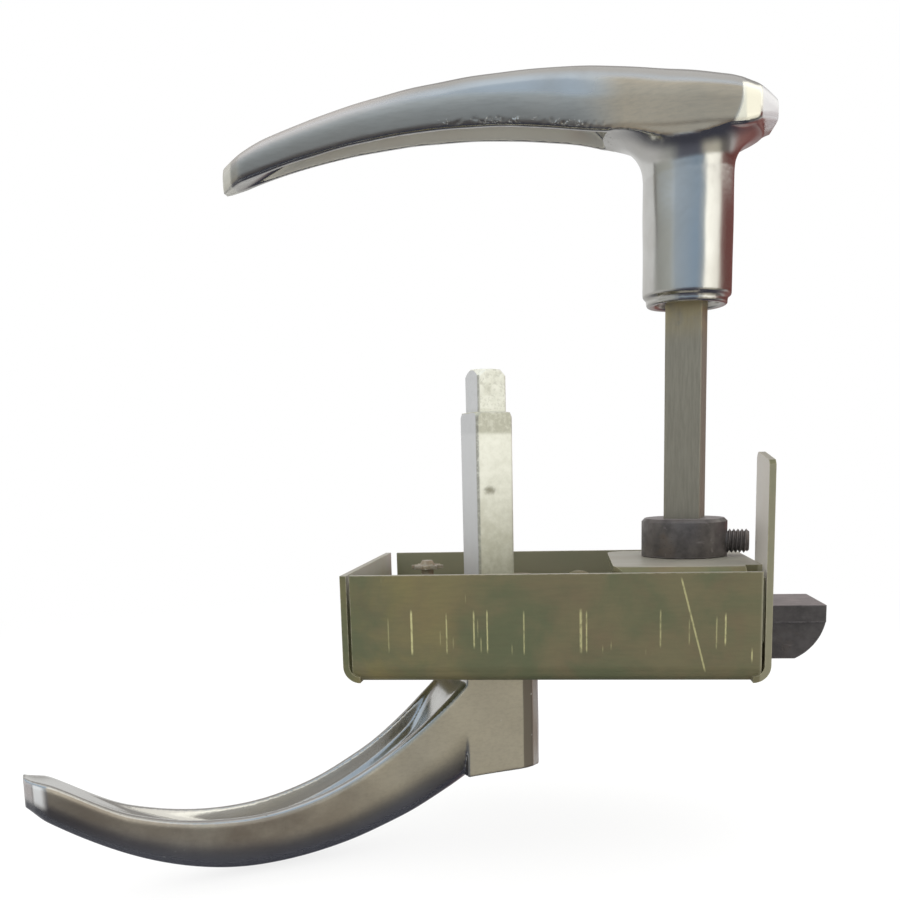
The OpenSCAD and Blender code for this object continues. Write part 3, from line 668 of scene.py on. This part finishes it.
pitting, (place, scale, size, share), out = shared_group(
    "pitting", {"Scale": 700.0, "Size": 0.3, "Share": 0.5}, "Pits")
cells = add(pitting, "ShaderNodeTexVoronoi", {"Vector": place, "Scale": scale}, "Distance")
where = noise(place, scale * 0.11, 2.0)
(cells.step(size, size * 0.4) * where.step(share, share + 0.08)).into(out)

FADE = 0.0015
scratch_line, (place, centre, slope, low, high, width), out = shared_group(
    "scratch_line", {"Centre": 0.0, "Slope": 0.0, "Low": 0.0, "High": 0.02, "Width": 0.0002}, "Line")
x, _, z = place.axes()
gap = abs(x - (centre + slope * (z - low)))
ends = z.step(low, low + FADE) * z.step(high, high - FADE)
(gap.step(width, width * 0.3) * ends).into(out)
print("shared effects:", [group.name for group in bpy.data.node_groups])


# %% [markdown]
# ## A material's frame
# Every finish starts from the same nodes: object coordinates, the surface's normal, a
# Principled shader and a Bump node that turns a height into a normal. A steady value,
# such as how metallic the surface is, sits on the shader's own socket.


# %% Finish
class Finish:
    """A material with wires for its object coordinates and its normal, and the colour painted so far."""

    def __init__(self, name, metallic, bump_distance=0.04 * MM):
        self.material = bpy.data.materials.new(name)
        self.material.use_nodes = True
        tree = self.material.node_tree
        self.shader = tree.nodes["Principled BSDF"]
        self.shader.inputs["Metallic"].default_value = metallic
        self.place = add(tree, "ShaderNodeTexCoord", out="Object")
        self.normal = add(tree, "ShaderNodeNewGeometry", out="Normal")
        self.bump = add(tree, "ShaderNodeBump", {"Strength": 1.0, "Distance": bump_distance})
        self.bump.into(self.shader.inputs["Normal"])
        self.colour = None

    def paint(self, mask, *tone):
        """Lays a tone, 0 to 255, over the colour so far where the mask is 1."""
        self.colour = mask.blend(self.colour, srgb(*tone))

    def made(self, roughness, height):
        """The material, once colour, roughness and height are fed in. Roughness may be one steady number."""
        self.colour.into(self.shader.inputs["Base Color"])
        if isinstance(roughness, Wire):
            roughness.into(self.shader.inputs["Roughness"])
        else:
            self.shader.inputs["Roughness"].default_value = roughness
        height.into(self.bump.socket.node.inputs["Height"])
        return self.material


# %% [markdown]
# ## Yellow-passivated case sheet
# The case is zinc-plated sheet with a yellow-green passivation: olive over most of the
# wall, straw where the film is thin and brown where it pooled. Door movement has worn a
# row of upright scratches through it. Their places on the front wall are millimetres in
# the shared frame, each with a strength. The cut edge at the right is paler. Faces that
# look into the case and the level top of the bridge are painted paler as painted light.

# %% Case finish
SCRATCHES = [  # x, lowest z, highest z, width, strength
    (-38.4, 7.0, 15.9, 0.22, 0.35), (-32.9, 6.4, 17.8, 0.34, 1.0), (-26.2, 8.6, 13.0, 0.2, 0.25),
    (-24.7, 6.7, 17.0, 0.24, 0.7), (-23.2, 7.8, 11.4, 0.18, 0.25), (-18.3, 7.9, 17.5, 0.26, 0.85),
    (-17.4, 10.2, 15.6, 0.2, 0.3), (-16.7, 6.9, 11.3, 0.2, 0.5), (-15.2, 6.8, 17.7, 0.24, 0.85),
    (-9.5, 6.4, 9.9, 0.2, 0.3), (-6.7, 6.4, 17.5, 0.24, 0.65), (6.4, 6.8, 17.8, 0.42, 0.75),
    (7.7, 6.8, 17.3, 0.24, 0.7), (11.4, 6.8, 9.4, 0.2, 0.3), (13.3, 7.4, 10.3, 0.2, 0.3),
    (-20.1, 18.6, 21.5, 0.14, 0.3), (-39.7, 23.6, 25.3, 0.16, 0.3), (24.5, 8.0, 17.6, 0.26, 0.55),
    (31.0, 8.6, 15.3, 0.22, 0.35), (37.1, 7.6, 15.9, 0.22, 0.5), (39.1, 8.4, 16.6, 0.26, 0.9),
    (45.1, 4.4, 8.5, 0.24, 0.8), (21.2, 6.4, 8.2, 0.2, 0.3)]
SLANTED = (29.0, 34.8, 24.8, 2.2, 0.3, 0.7)  # top x, bottom x, top z, bottom z, width, strength


def case_sheet():
    """Film colours first, then scratches, a paler cut edge, painted light on inner faces and the bridge top,
    and edge wear.
    """
    coat = Finish("zinc_case", 0.4)
    place = coat.place
    x, y, z = place.axes()
    endways, depthways, upwards = coat.normal.axes()
    film = noise(place, 55.0, 5.0, 0.6, 0.5)
    coat.colour = film.step(0.36, 0.6).blend(srgb(106, 110, 82), srgb(122, 115, 86))
    brown = effect(stain, place, Scale=70.0, Low=0.44, High=0.76)
    coat.paint(brown * 0.55, 122, 104, 82)
    straw = effect(stain, place, Scale=60.0, Low=0.3, High=0.78) * x.step(0.0, -0.05)
    coat.paint(straw * 0.75, 146, 134, 84)
    grain = noise(place.scaled((0.16, 0.16, 1)), 1500.0, 3.0)
    coat.paint(grain.step(0.3, 0.75, 0.0, 0.16), 90, 90, 70)
    marks = [effect(scratch_line, place, Centre=at * MM, Low=low * MM, High=high * MM,
                    Width=width * MM) * strength for at, low, high, width, strength in SCRATCHES]
    top_x, low_x, top_z, low_z, width, strength = SLANTED
    marks.append(effect(scratch_line, place, Centre=low_x * MM, Slope=(top_x - low_x) / (top_z - low_z),
                        Low=low_z * MM, High=top_z * MM, Width=width * MM) * strength)
    skips = noise(place.scaled((1, 1, 0.5)), 1400.0, 3.0).step(0.3, 0.55, 0.35, 1.0)
    lines = largest(marks) * y.step(-0.0292, -0.0297) * skips
    coat.paint(lines, 204, 199, 146)
    # Painted light: end-wall faces that look into the case, high up, are painted nearly white.
    inwards = (endways * x).step(-0.03, -0.045)
    inner_face_light = inwards * z.step(0.016, 0.026) * x.step(-0.01, 0.01, 0.8, 0.95)
    coat.paint(inner_face_light, 212, 207, 200)
    # Painted light: the inner faces of the front and back walls are painted paler against the shade inside
    # the case.
    inner_wall_light = (depthways * y).step(-0.015, -0.025, 0.0, 0.7)
    coat.paint(inner_wall_light, 150, 148, 126)
    cut_edge = depthways.step(-0.8, -0.95) * x.step(0.0467, 0.0472)
    coat.paint(cut_edge * 0.6, 160, 156, 132)
    # Painted light: level faces high up, such as the top of the bridge, are painted paler.
    level = abs(upwards).step(0.9, 0.98) * z.step(0.02, 0.024)
    coat.paint(level * 0.7, 176, 172, 164)
    wear = effect(edge_wear, place, Radius=0.0005, Breakup=600.0)
    coat.paint(wear * 0.7, 184, 178, 154)
    return coat.made(film.step(0.3, 0.7, 0.36, 0.5), grain * 0.25 - lines)


# %% [markdown]
# ## Plated handle metal
# The handles are nickel-bright castings. Their flanks were linished flat by hand, so they
# are satin and a little brown, while crown, boss and neck stay bright. The flank is found
# from the surface's own direction and from its height above the bowed line of the lever.
# The outer flank's lower part and the inner lever's belly are darkened with painted shade.
# The list at the end names facets that are pale in the photograph: each gets a pale and
# less metallic tone by its position.

# %% Handle finish
UP = (0.0, 0.0, 1.0)
FLANK_OUTER = (0.0, -1.0, 0.0)
PAD_X, PAD_Z, PAD_LONG, PAD_HIGH = 0.034, 0.1339, 0.0099, 0.009
LEVER_HIGH, BELLY_BEND = 0.014, 6.6
ALONG_INNER = (math.cos(math.radians(INNER_TURN)), math.sin(math.radians(INNER_TURN)), 0.0)
FLANK_INNER = (math.sin(math.radians(INNER_TURN)), -math.cos(math.radians(INNER_TURN)), 0.0)


def flank_mask(place, normal, direction, offset):
    """1 on the upright outer flanks of a lever, 0 on crown, rims, end facets and inside the channel.
    A flank's normal and its distance from the lever's middle plane have the same sign, and those of
    a channel wall have not."""
    turn = normal.dot(direction)
    outside = (turn * (place.dot(direction) - offset)).step(0.0, 0.001)
    upright = abs(normal.dot(UP)).step(0.6, 0.4)
    return outside * (upright * abs(turn).step(0.7, 0.85))


def above_bow(along, height, middle, low, bend):
    """How high a place lies above a bowed line: (height - low - bend (along - middle)^2) / lever's height."""
    off = along - middle
    return (height - (off * off * bend + low)) / LEVER_HIGH


def handle_metal():
    """Places along both levers first, then satin flanks on bright metal with painted shade, pits, and the
    pale facets as painted highlights.
    """
    coat = Finish("handle_metal", 1.0, 0.03 * MM)
    place = coat.place
    x, y, z = place.axes()
    depthways, upwards = coat.normal.axes()[1:]
    is_outer = z.step(-0.001, 0.001)
    is_inner = 1.0 - is_outer

    outer_s = OUTER_X * MM - x
    outer_rise = above_bow(outer_s, z, RIM_S * MM, RIM_Z * MM, -0.5 / (RIM_BEND * MM))
    past_pad = (x - PAD_X).math("MAXIMUM", 0.0) / PAD_LONG
    off_pad = (z - PAD_Z) / PAD_HIGH
    off_pad = off_pad.math("MAXIMUM", off_pad * -0.7)
    round_end = past_pad * past_pad + off_pad * off_pad
    on_head = x.step(0.004, 0.018)
    pad = on_head.choose(outer_rise.step(0.6, 0.44), round_end.step(1.1, 0.85) * z.step(0.1236, 0.1246))
    whole_flank = flank_mask(place, coat.normal, FLANK_OUTER, 0.0)
    outer_flank = whole_flank * pad

    inner_s = INNER_X * MM * ALONG_INNER[0] - place.dot(ALONG_INNER)
    inner_rise = above_bow(inner_s, z, BELLY_S * MM, BELLY_Z * MM, BELLY_BEND)
    inner_flank = flank_mask(place, coat.normal, FLANK_INNER, INNER_X * MM * FLANK_INNER[0])
    flank = is_outer.choose(inner_flank, outer_flank)

    haze = effect(stain, place, Scale=30.0, Low=0.38, High=0.74)
    coat.colour = haze.blend(srgb(226, 225, 221), srgb(206, 203, 196))
    linish = noise(place.scaled((0.16, 1, 1)), 1500.0, 3.0, 0.6)
    satin = on_head.blend(srgb(222, 216, 204), srgb(226, 206, 178))
    # Painted shade: the outer lever's flank darkens towards its lower rim, away from the head.
    satin = (outer_rise.step(0.6, 0.1) * (1.0 - on_head)).blend(satin, srgb(178, 171, 160))
    patchy = effect(stain, place, Scale=45.0, Low=0.4, High=0.66)
    inner_satin = patchy.blend(srgb(196, 188, 174), srgb(168, 157, 144))
    inner_satin = inner_s.step(0.06, 0.015).blend(inner_satin, srgb(212, 206, 190))
    satin = is_outer.blend(inner_satin, satin)
    satin = linish.step(0.35, 0.75, 0.0, 0.16).blend(satin, srgb(140, 132, 120))
    coat.colour = flank.blend(coat.colour, satin)
    # Painted shade: the inner lever's lower belly gets a darker, bluish tone.
    belly_shade = inner_rise.step(0.7, 0.2) * inner_s.step(0.006, 0.03) * (0.85 - is_outer)
    coat.paint(belly_shade, 150, 152, 162)
    endways = coat.normal.dot(ALONG_INNER)
    boss_back = inner_s.step(0.004, -0.002) * is_inner
    # Painted shade: the bevels at the back of the inner boss get a darker tone by their direction.
    boss_bevel_shade = endways.step(0.08, 0.16) * endways.step(0.44, 0.38) * boss_back
    coat.paint(boss_bevel_shade, 160, 153, 142)
    nicks = effect(pitting, place, Scale=330.0, Size=0.13, Share=0.58) * is_inner
    coat.paint(nicks, 240, 240, 236)
    pits = effect(pitting, place, Scale=900.0, Size=0.22, Share=0.64)
    coat.paint(pits * 0.5, 104, 100, 92)
    porous = outer_s.step(0.016, 0.022) * outer_s.step(0.062, 0.056) * is_outer * outer_rise.step(0.16, 0.08)
    porous = porous * outer_flank * noise(place, 260.0, 1.0).step(0.45, 0.58)
    crumbs = porous * noise(place, 1500.0, 2.0, 0.5).step(0.54, 0.62)
    coat.paint(crumbs, 244, 242, 234)
    rough = haze.step(0.0, 1.0, 0.18, 0.26) + flank * 0.2
    peel = noise(place, 620.0, 2.0, 0.5)
    height = linish * (flank * 0.08) - pits + peel * 0.5 + crumbs * 6.0

    # Painted highlights: the masks from here on mark facets that get a pale, less metallic tone where light
    # catches them; the belly's share among them is painted shade.
    near = y.step(0.004, -0.002) * upwards.step(0.75, 0.6)
    far_wall = depthways.step(-0.4, -0.7) * y.step(0.0005, 0.0015) * is_outer * outer_s.step(0.014, 0.018)
    end_facet = x.step(0.0479, 0.0485) * z.step(0.1268, 0.1276) * near
    bevel = x.step(0.0432, 0.0438) * x.step(0.0485, 0.0479) * z.step(0.1285, 0.13) * near
    off_pad_flank = (whole_flank - outer_flank) * near * x.step(0.034, 0.042) * z.step(0.1252, 0.1264)
    crown_highlight = upwards.step(0.1, 0.5) * outer_s.step(0.05, 0.085, 0.0, 0.45) * is_outer
    outer_tip = (outer_s.step(0.1112, 0.1122, 0.0, 0.5) + outer_s.step(0.107, 0.11, 0.0, 0.2)) * is_outer
    upper = inner_rise.step(0.42, 0.6) * is_inner * upwards.step(0.6, 0.3)
    inner_tip = inner_s.step(0.1085, 0.1105) * inner_s.step(0.1122, 0.1114, 0.0, 0.85) * upper
    inner_end = inner_s.step(0.1114, 0.1122, 0.0, 0.7) * upper
    boss_end = endways.step(0.45, 0.52) * boss_back
    pale = [(far_wall, 208, 205, 194), (end_facet, 220, 219, 221), (bevel, 246, 243, 230),
            (off_pad_flank, 232, 228, 210), (crown_highlight, 214, 206, 206), (outer_tip, 204, 203, 194),
            (inner_tip, 226, 228, 230), (inner_end, 172, 166, 170), (boss_end, 190, 190, 192),
            (belly_shade * 0.4, 126, 128, 134)]
    for mask, *tone in pale:
        coat.paint(mask, *tone)
    largest(row[0] for row in pale).step(0.0, 1.0, 1.0, 0.3).into(coat.shader.inputs["Metallic"])
    return coat.made(rough, height)


# %% [markdown]
# ## Spindles
# The inner spindle is bright zinc with a frosted bloom, a crumpled grey band below its
# shoulder, one dark arris and one dull spot; two opposite faces carry painted shade. The
# outer one is bare drawn bar: grey, streaked along its length, tan with rust at the top
# and darker at the foot with painted shade.

# %% Spindle finishes
DULL_SPOT = (-0.0159, -0.0051, 0.0441)


def bright_zinc():
    """Frosted bloom, then darker places by height, painted shade by the face's direction, and darker places
    by distance.
    """
    coat = Finish("bright_zinc", 0.45)
    place = coat.place
    z = place.axes()[2]
    bloom = noise(place, 420.0, 5.0, 0.65)
    coat.colour = bloom.step(0.3, 0.7).blend(srgb(248, 248, 236), srgb(234, 234, 220))
    dull = effect(stain, place, Scale=90.0, Low=0.58, High=0.75)
    coat.paint(dull * 0.25, 186, 184, 166)
    lower = z.step(0.05, 0.02) * bloom.step(0.3, 0.7, 0.75, 1.0)
    coat.paint(lower, 186, 184, 162)
    crumpled = noise(place, 900.0, 4.0, 0.7)
    band = z.step(0.0575, 0.0588) * z.step(0.0642, 0.063) * crumpled.step(0.3, 0.6, 0.6, 1.0)
    coat.paint(band, 190, 189, 172)
    tip = z.step(0.0632, 0.0645)
    coat.paint(tip * crumpled.step(0.52, 0.36, 0.0, 0.5), 196, 195, 180)
    # Painted shade: two opposite faces of the square bar are painted a little darker and bluer.
    shaded_end_faces = abs(coat.normal.dot(ALONG_INNER)).step(0.8, 0.95)
    coat.paint(shaded_end_faces * 0.85, 196, 197, 201)
    spot = place.vector("SUBTRACT", DULL_SPOT).scaled((1, 1, 1.4)).vector("LENGTH", out="Value")
    spot = spot + noise(place, 1100.0) * 0.0016
    coat.paint(spot.step(0.003, 0.0012, 0.0, 0.8), 126, 122, 102)
    corner = place.dot(FLANK_INNER) - place.dot(ALONG_INNER)
    corner = corner + INNER_X * MM * (ALONG_INNER[0] - FLANK_INNER[0])
    corner = corner / z.step(0.0633, 0.0635, 1.0, 0.78)
    arris = corner.step(0.0092, 0.0096) * crumpled.step(0.3, 0.6, 0.3, 0.8)
    coat.paint(arris, 146, 144, 134)
    return coat.made(0.4, bloom + tip * crumpled * 4.0)


def grey_spindle():
    """Streaks along the bar, then a rust stain at the top, painted shade at the foot, and edge wear."""
    coat = Finish("grey_spindle", 0.5)
    place = coat.place
    z = place.axes()[2]
    streak = noise(place.scaled((1, 1, 0.1)), 1600.0, 5.0, 0.65)
    coat.colour = streak.step(0.3, 0.72).blend(srgb(144, 140, 127), srgb(131, 127, 115))
    rust_and_foot_shade = effect(stain, place, Scale=150.0, Low=0.3, High=0.55)
    coat.paint(z.step(0.078, 0.088) * rust_and_foot_shade * 0.85, 168, 154, 118)
    # Painted shade: the foot of the bar, near the collar, is painted darker, broken up by the rust noise.
    coat.paint(z.step(0.04, 0.031, 0.0, 0.6) * rust_and_foot_shade, 92, 88, 78)
    wear = effect(edge_wear, place, Radius=0.0004, Breakup=700.0)
    coat.paint(wear * 0.6, 176, 174, 166)
    return coat.made(streak.step(0.2, 0.8, 0.34, 0.52), streak)


# %% [markdown]
# ## Dark and plain steels
# Collar, screw and bolt are dark oiled steel: nearly black, with brown patches, pale
# corners and top faces made pale with painted light. The plain steels inside the case are
# a lighter grey with the same effects in other colours, so one function and a table make them all.

# %% Steel finishes
# The share on tops is how much of the corner colour is painted on top faces as painted light.
STEELS = {  # metallic, colours (light, shade, patch, corner), lowest and highest roughness, share on tops
    "dark_steel": (0.55, (106, 101, 99), (82, 78, 77), (98, 87, 78), (150, 143, 144), 0.32, 0.48, 0.7),
    "plain_steel": (0.55, (176, 166, 146), (132, 122, 104), (128, 104, 80), (196, 192, 184), 0.34, 0.52, 0.0),
    "bush": (0.8, (150, 132, 92), (116, 98, 66), (96, 78, 54), (196, 180, 140), 0.32, 0.48, 0.0),
    "spring_steel": (0.85, (140, 138, 134), (96, 94, 92), (110, 88, 66), (190, 188, 184), 0.28, 0.42, 0.0)}


def steel(name):
    """Mottled lighter and darker tones, then patches, rubs, pits, painted light on top faces, and wear.
    Corner is the colour of worn places and of the painted light.
    """
    metallic, light, shade, patch, corner, rough_low, rough_high, top = STEELS[name]
    coat = Finish(name, metallic)
    place = coat.place
    tone = noise(place, 260.0, 5.0, 0.6)
    coat.colour = tone.step(0.3, 0.7).blend(srgb(*light), srgb(*shade))
    patches = effect(stain, place, Scale=120.0, Low=0.52, High=0.72)
    coat.paint(patches * 0.6, *patch)
    rubs = effect(scuff, place.scaled((0.25, 1, 1)), Scale=700.0, Low=0.62, High=0.74)
    coat.paint(rubs * 0.35, *corner)
    pits = effect(pitting, place, Scale=1100.0, Size=0.3, Share=0.58)
    coat.paint(pits * 0.5, *shade)
    # Painted light: top faces get the corner colour, where light from above falls.
    coat.paint(coat.normal.dot(UP).step(0.8, 0.95, 0.0, top), *corner)
    wear = effect(edge_wear, place, Radius=0.0005, Breakup=800.0)
    coat.paint(wear * 0.8, *corner)
    return coat.made(tone.step(0.25, 0.75, rough_low, rough_high), tone * 0.4 - pits)


FINISH = {"zinc_case": case_sheet(), "handle_metal": handle_metal(), "bright_zinc": bright_zinc(),
          "grey_spindle": grey_spindle()}
FINISH |= {name: steel(name) for name in STEELS}
print("finishes:", list(FINISH))

# %% [markdown]
# ## Giving each piece its finish
# The solids that stay in view are listed by finish.

# %% Assign finishes
NODE_FINISH = {
    "zinc_case": ["lock_case", "bridge_bracket", "guide_post"],
    "bush": ["bridge_bush", "floor_bush"],
    "dark_steel": ["latch_bolt", "outer_follower", "inner_follower"],
    "plain_steel": ["spring_post", "spring_washer", "guide_washer", "slide_plate", "front_rivet",
                    "rear_rivet", "outer_crank", "outer_crank_pin", "inner_washer", "inner_crank",
                    "inner_crank_pin"]}
dressed = [(nodes[name], finish) for finish, names in NODE_FINISH.items() for name in names]
dressed += [(piece, piece["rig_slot"])
            for piece in (outer_handle, inner_handle, inner_bar, outer_bar, set_screw, spring)]
for piece, finish in dressed:
    piece.data.materials.clear()
    piece.data.materials.append(FINISH[finish])
print("dressed:", len(dressed))

# %% [markdown]
# ## Floor
# The lock rests on pale paper against white. What the eye sees of the paper is mostly a
# white of its own, and towards the rim all of it is, so the paper melts into the
# background and still keeps a soft shadow. Mirrors look through the paper into the room,
# and all other light meets a plain grey. The disc is a grid of radius and angle.


# %% Floor
def ray_kinds(tree):
    """Two wires: 1 for rays that a mirror sends on, and 1 for rays straight from the eye."""
    return [add(tree, "ShaderNodeLightPath", out=f"Is {kind} Ray") for kind in ("Glossy", "Camera")]


FLOOR_Z = cad_box[0][2] - 0.0006
RINGS, SECTORS = 24, 64
radius = np.linspace(0.002, 0.9, RINGS)[:, None]
angle = full_turn(SECTORS)
disc = np.stack([radius * np.cos(angle), radius * np.sin(angle), FLOOR_Z + 0 * radius + 0 * angle], -1)
mesh = bpy.data.meshes.new("floor")
mesh.from_pydata(disc.reshape(-1, 3).tolist(), [], tube_faces(RINGS, SECTORS, 0)[:-1])
floor = placed("floor", mesh)

paper = bpy.data.materials.new("paper")
paper.use_nodes = True
tree = paper.node_tree
pale = tree.nodes["Principled BSDF"]
pale.inputs["Base Color"].default_value = (0.85, 0.85, 0.85, 1)
pale.inputs["Roughness"].default_value = 0.9
white = add(tree, "ShaderNodeEmission", {"Color": (1, 1, 1, 1), "Strength": 1.0})
dim = add(tree, "ShaderNodeBsdfDiffuse", {"Color": (0.55, 0.55, 0.55, 1)})
clear = add(tree, "ShaderNodeBsdfTransparent")
mirror, eye = ray_kinds(tree)
far = add(tree, "ShaderNodeTexCoord", out="Object").vector("LENGTH", out="Value")
unseen = add(tree, "ShaderNodeMixShader", {0: mirror, 1: dim, 2: clear})
whiter = far.step(0.12, 0.5, 0.8, 1.0)
lit = add(tree, "ShaderNodeMixShader", {0: whiter, 1: Wire(pale.outputs[0]), 2: white})
mixed = add(tree, "ShaderNodeMixShader", {0: eye, 1: unseen, 2: lit})
mixed.into(tree.nodes["Material Output"].inputs["Surface"])
floor.data.materials.append(paper)
print("floor mm:", round(FLOOR_Z / MM, 2), "faces:", len(mesh.polygons))

# %% [markdown]
# ## Light
# Plated metal shows the room, so the room matters more than the lamps. The eye sees only
# white behind the lock. Mirrors see a workshop: pale behind, dim on the left, a cool
# window in front, a bright doorway at the front right and a dull red wall to the right,
# light above and dark below. Two rings of colours, one at eye level and one nearer the
# floor, are read by compass angle, starting and ending behind the lock. All other light
# comes from a pale dome.

# %% World and lamps
ROOM = [  # share of the full turn from behind over the left, the front and the right, then the colour
    (0.0, (0.7, 0.7, 0.7)), (0.215, (0.7, 0.71, 0.72)), (0.25, (0.2, 0.21, 0.19)),
    (0.36, (0.28, 0.295, 0.27)), (0.4, (0.36, 0.42, 0.48)), (0.55, (0.24, 0.33, 0.44)),
    (0.59, (0.3, 0.35, 0.4)), (0.615, (1.45, 1.44, 1.34)), (0.71, (1.1, 1.08, 1.0)),
    (0.745, (0.21, 0.105, 0.095)), (0.8, (0.14, 0.038, 0.034)), (0.94, (0.18, 0.065, 0.06)),
    (1.0, (0.7, 0.7, 0.7))]
LOW_ROOM = [
    (0.0, (0.5, 0.5, 0.5)), (0.25, (0.5, 0.5, 0.5)), (0.37, (0.34, 0.35, 0.34)),
    (0.43, (0.1, 0.105, 0.135)), (0.56, (0.09, 0.095, 0.125)), (0.62, (0.52, 0.49, 0.42)),
    (0.7, (0.46, 0.44, 0.37)), (0.735, (0.15, 0.14, 0.13)), (0.78, (0.15, 0.14, 0.14)),
    (0.81, (0.5, 0.48, 0.48)), (0.86, (0.3, 0.16, 0.15)), (0.94, (0.21, 0.09, 0.085)),
    (1.0, (0.5, 0.5, 0.5))]
world = bpy.data.worlds.new("studio")
bpy.context.scene.world = world
world.use_nodes = True
tree = world.node_tree
x, y, z = add(tree, "ShaderNodeTexCoord", out="Generated").axes()
turn = x.math("ARCTAN2", y * -1.0) * (0.5 / math.pi) + 0.5


def colour_ring(stops):
    """A colour ramp over the compass, from a list of (share of the turn, colour)."""
    ring = add(tree, "ShaderNodeValToRGB", {0: turn})
    marks = ring.socket.node.color_ramp.elements
    marks.remove(marks[1])
    marks[0].color = (*stops[0][1], 1)
    for at, tint in stops[1:]:
        marks.new(at).color = (*tint, 1)
    return ring


ring = z.step(-0.12, 0.06).blend(colour_ring(LOW_ROOM), colour_ring(ROOM))
above = y.step(-0.35, 0.35).blend((0.4, 0.49, 0.6, 1), (0.34, 0.33, 0.325, 1))
above = x.step(0.35, 0.6).blend(above, (0.95, 0.93, 0.88, 1))
room = z.step(0.25, 0.31).blend(ring, above)
room = z.step(-0.32, -0.8).blend(room, (0.05, 0.052, 0.07, 1))
dome = z.step(-0.2, 0.9).blend((0.95, 0.95, 0.93, 1), (1.9, 1.9, 1.86, 1))
mirror, eye = ray_kinds(tree)
room = mirror.blend(dome, room)
eye.blend(room, (1, 1, 1, 1)).into(tree.nodes["Background"].inputs["Color"])


def panel(name, place, size, power, aim=(0.0, 0.0, 0.05)):
    """A soft rectangular lamp at a place, in metres, turned to face a point."""
    lamp = bpy.data.lights.new(name, "AREA")
    lamp.shape = "RECTANGLE"
    lamp.size, lamp.size_y = size
    lamp.energy = power
    holder = placed(name, lamp)
    holder.location = place
    look = np.array(aim) - np.array(place)
    holder.rotation_euler = Vector(look).to_track_quat("-Z", "Y").to_euler()


panel("overhead", (-0.05, 0.1, 0.85), (1.1, 0.8), 0.55)
panel("left_window", (-0.7, -0.3, 0.4), (0.9, 0.9), 0.3)
print("lamps:", [lamp.name for lamp in bpy.data.lights])

# %% [markdown]
# ## Camera
# The photograph was taken from close by, a little above the case, so its perspective
# is strong. Distance, turn and focal length were solved from the case's corners. The
# picture is 900 pixels square, and the lens shift only moves the frame to where the
# photograph has it.

# %% Camera
PICTURE, FOCAL_PX, SENSOR = 900, 986, 36
CENTRE_X, CENTRE_Y = 483, 617
EYE = np.array([3.6, -254.5, 50.9])
yaw, pitch, roll = np.radians([-5.02, -8.88, 1.15])
forward = np.array([math.sin(yaw) * math.cos(pitch), math.cos(yaw) * math.cos(pitch), math.sin(pitch)])
level = np.cross(forward, [0, 0, 1])
level /= np.linalg.norm(level)
upward = np.cross(level, forward)
right = math.cos(roll) * level - math.sin(roll) * upward
top = math.sin(roll) * level + math.cos(roll) * upward
lens = bpy.data.cameras.new("camera")
lens.sensor_width = SENSOR
lens.lens = SENSOR * FOCAL_PX / PICTURE
lens.shift_x = (PICTURE / 2 - CENTRE_X) / PICTURE
lens.shift_y = (CENTRE_Y - PICTURE / 2) / PICTURE
lens.clip_start = 0.01
camera = placed("camera", lens)
pose = np.eye(4)
pose[:3, :3] = np.stack([right, top, -forward], 1)
pose[:3, 3] = EYE * MM
camera.matrix_world = Matrix(pose.tolist())
bpy.context.scene.camera = camera
bpy.context.scene.view_settings.view_transform = "Standard"
print("lens:", round(lens.lens, 2), "shift:", round(lens.shift_x, 4), round(lens.shift_y, 4))
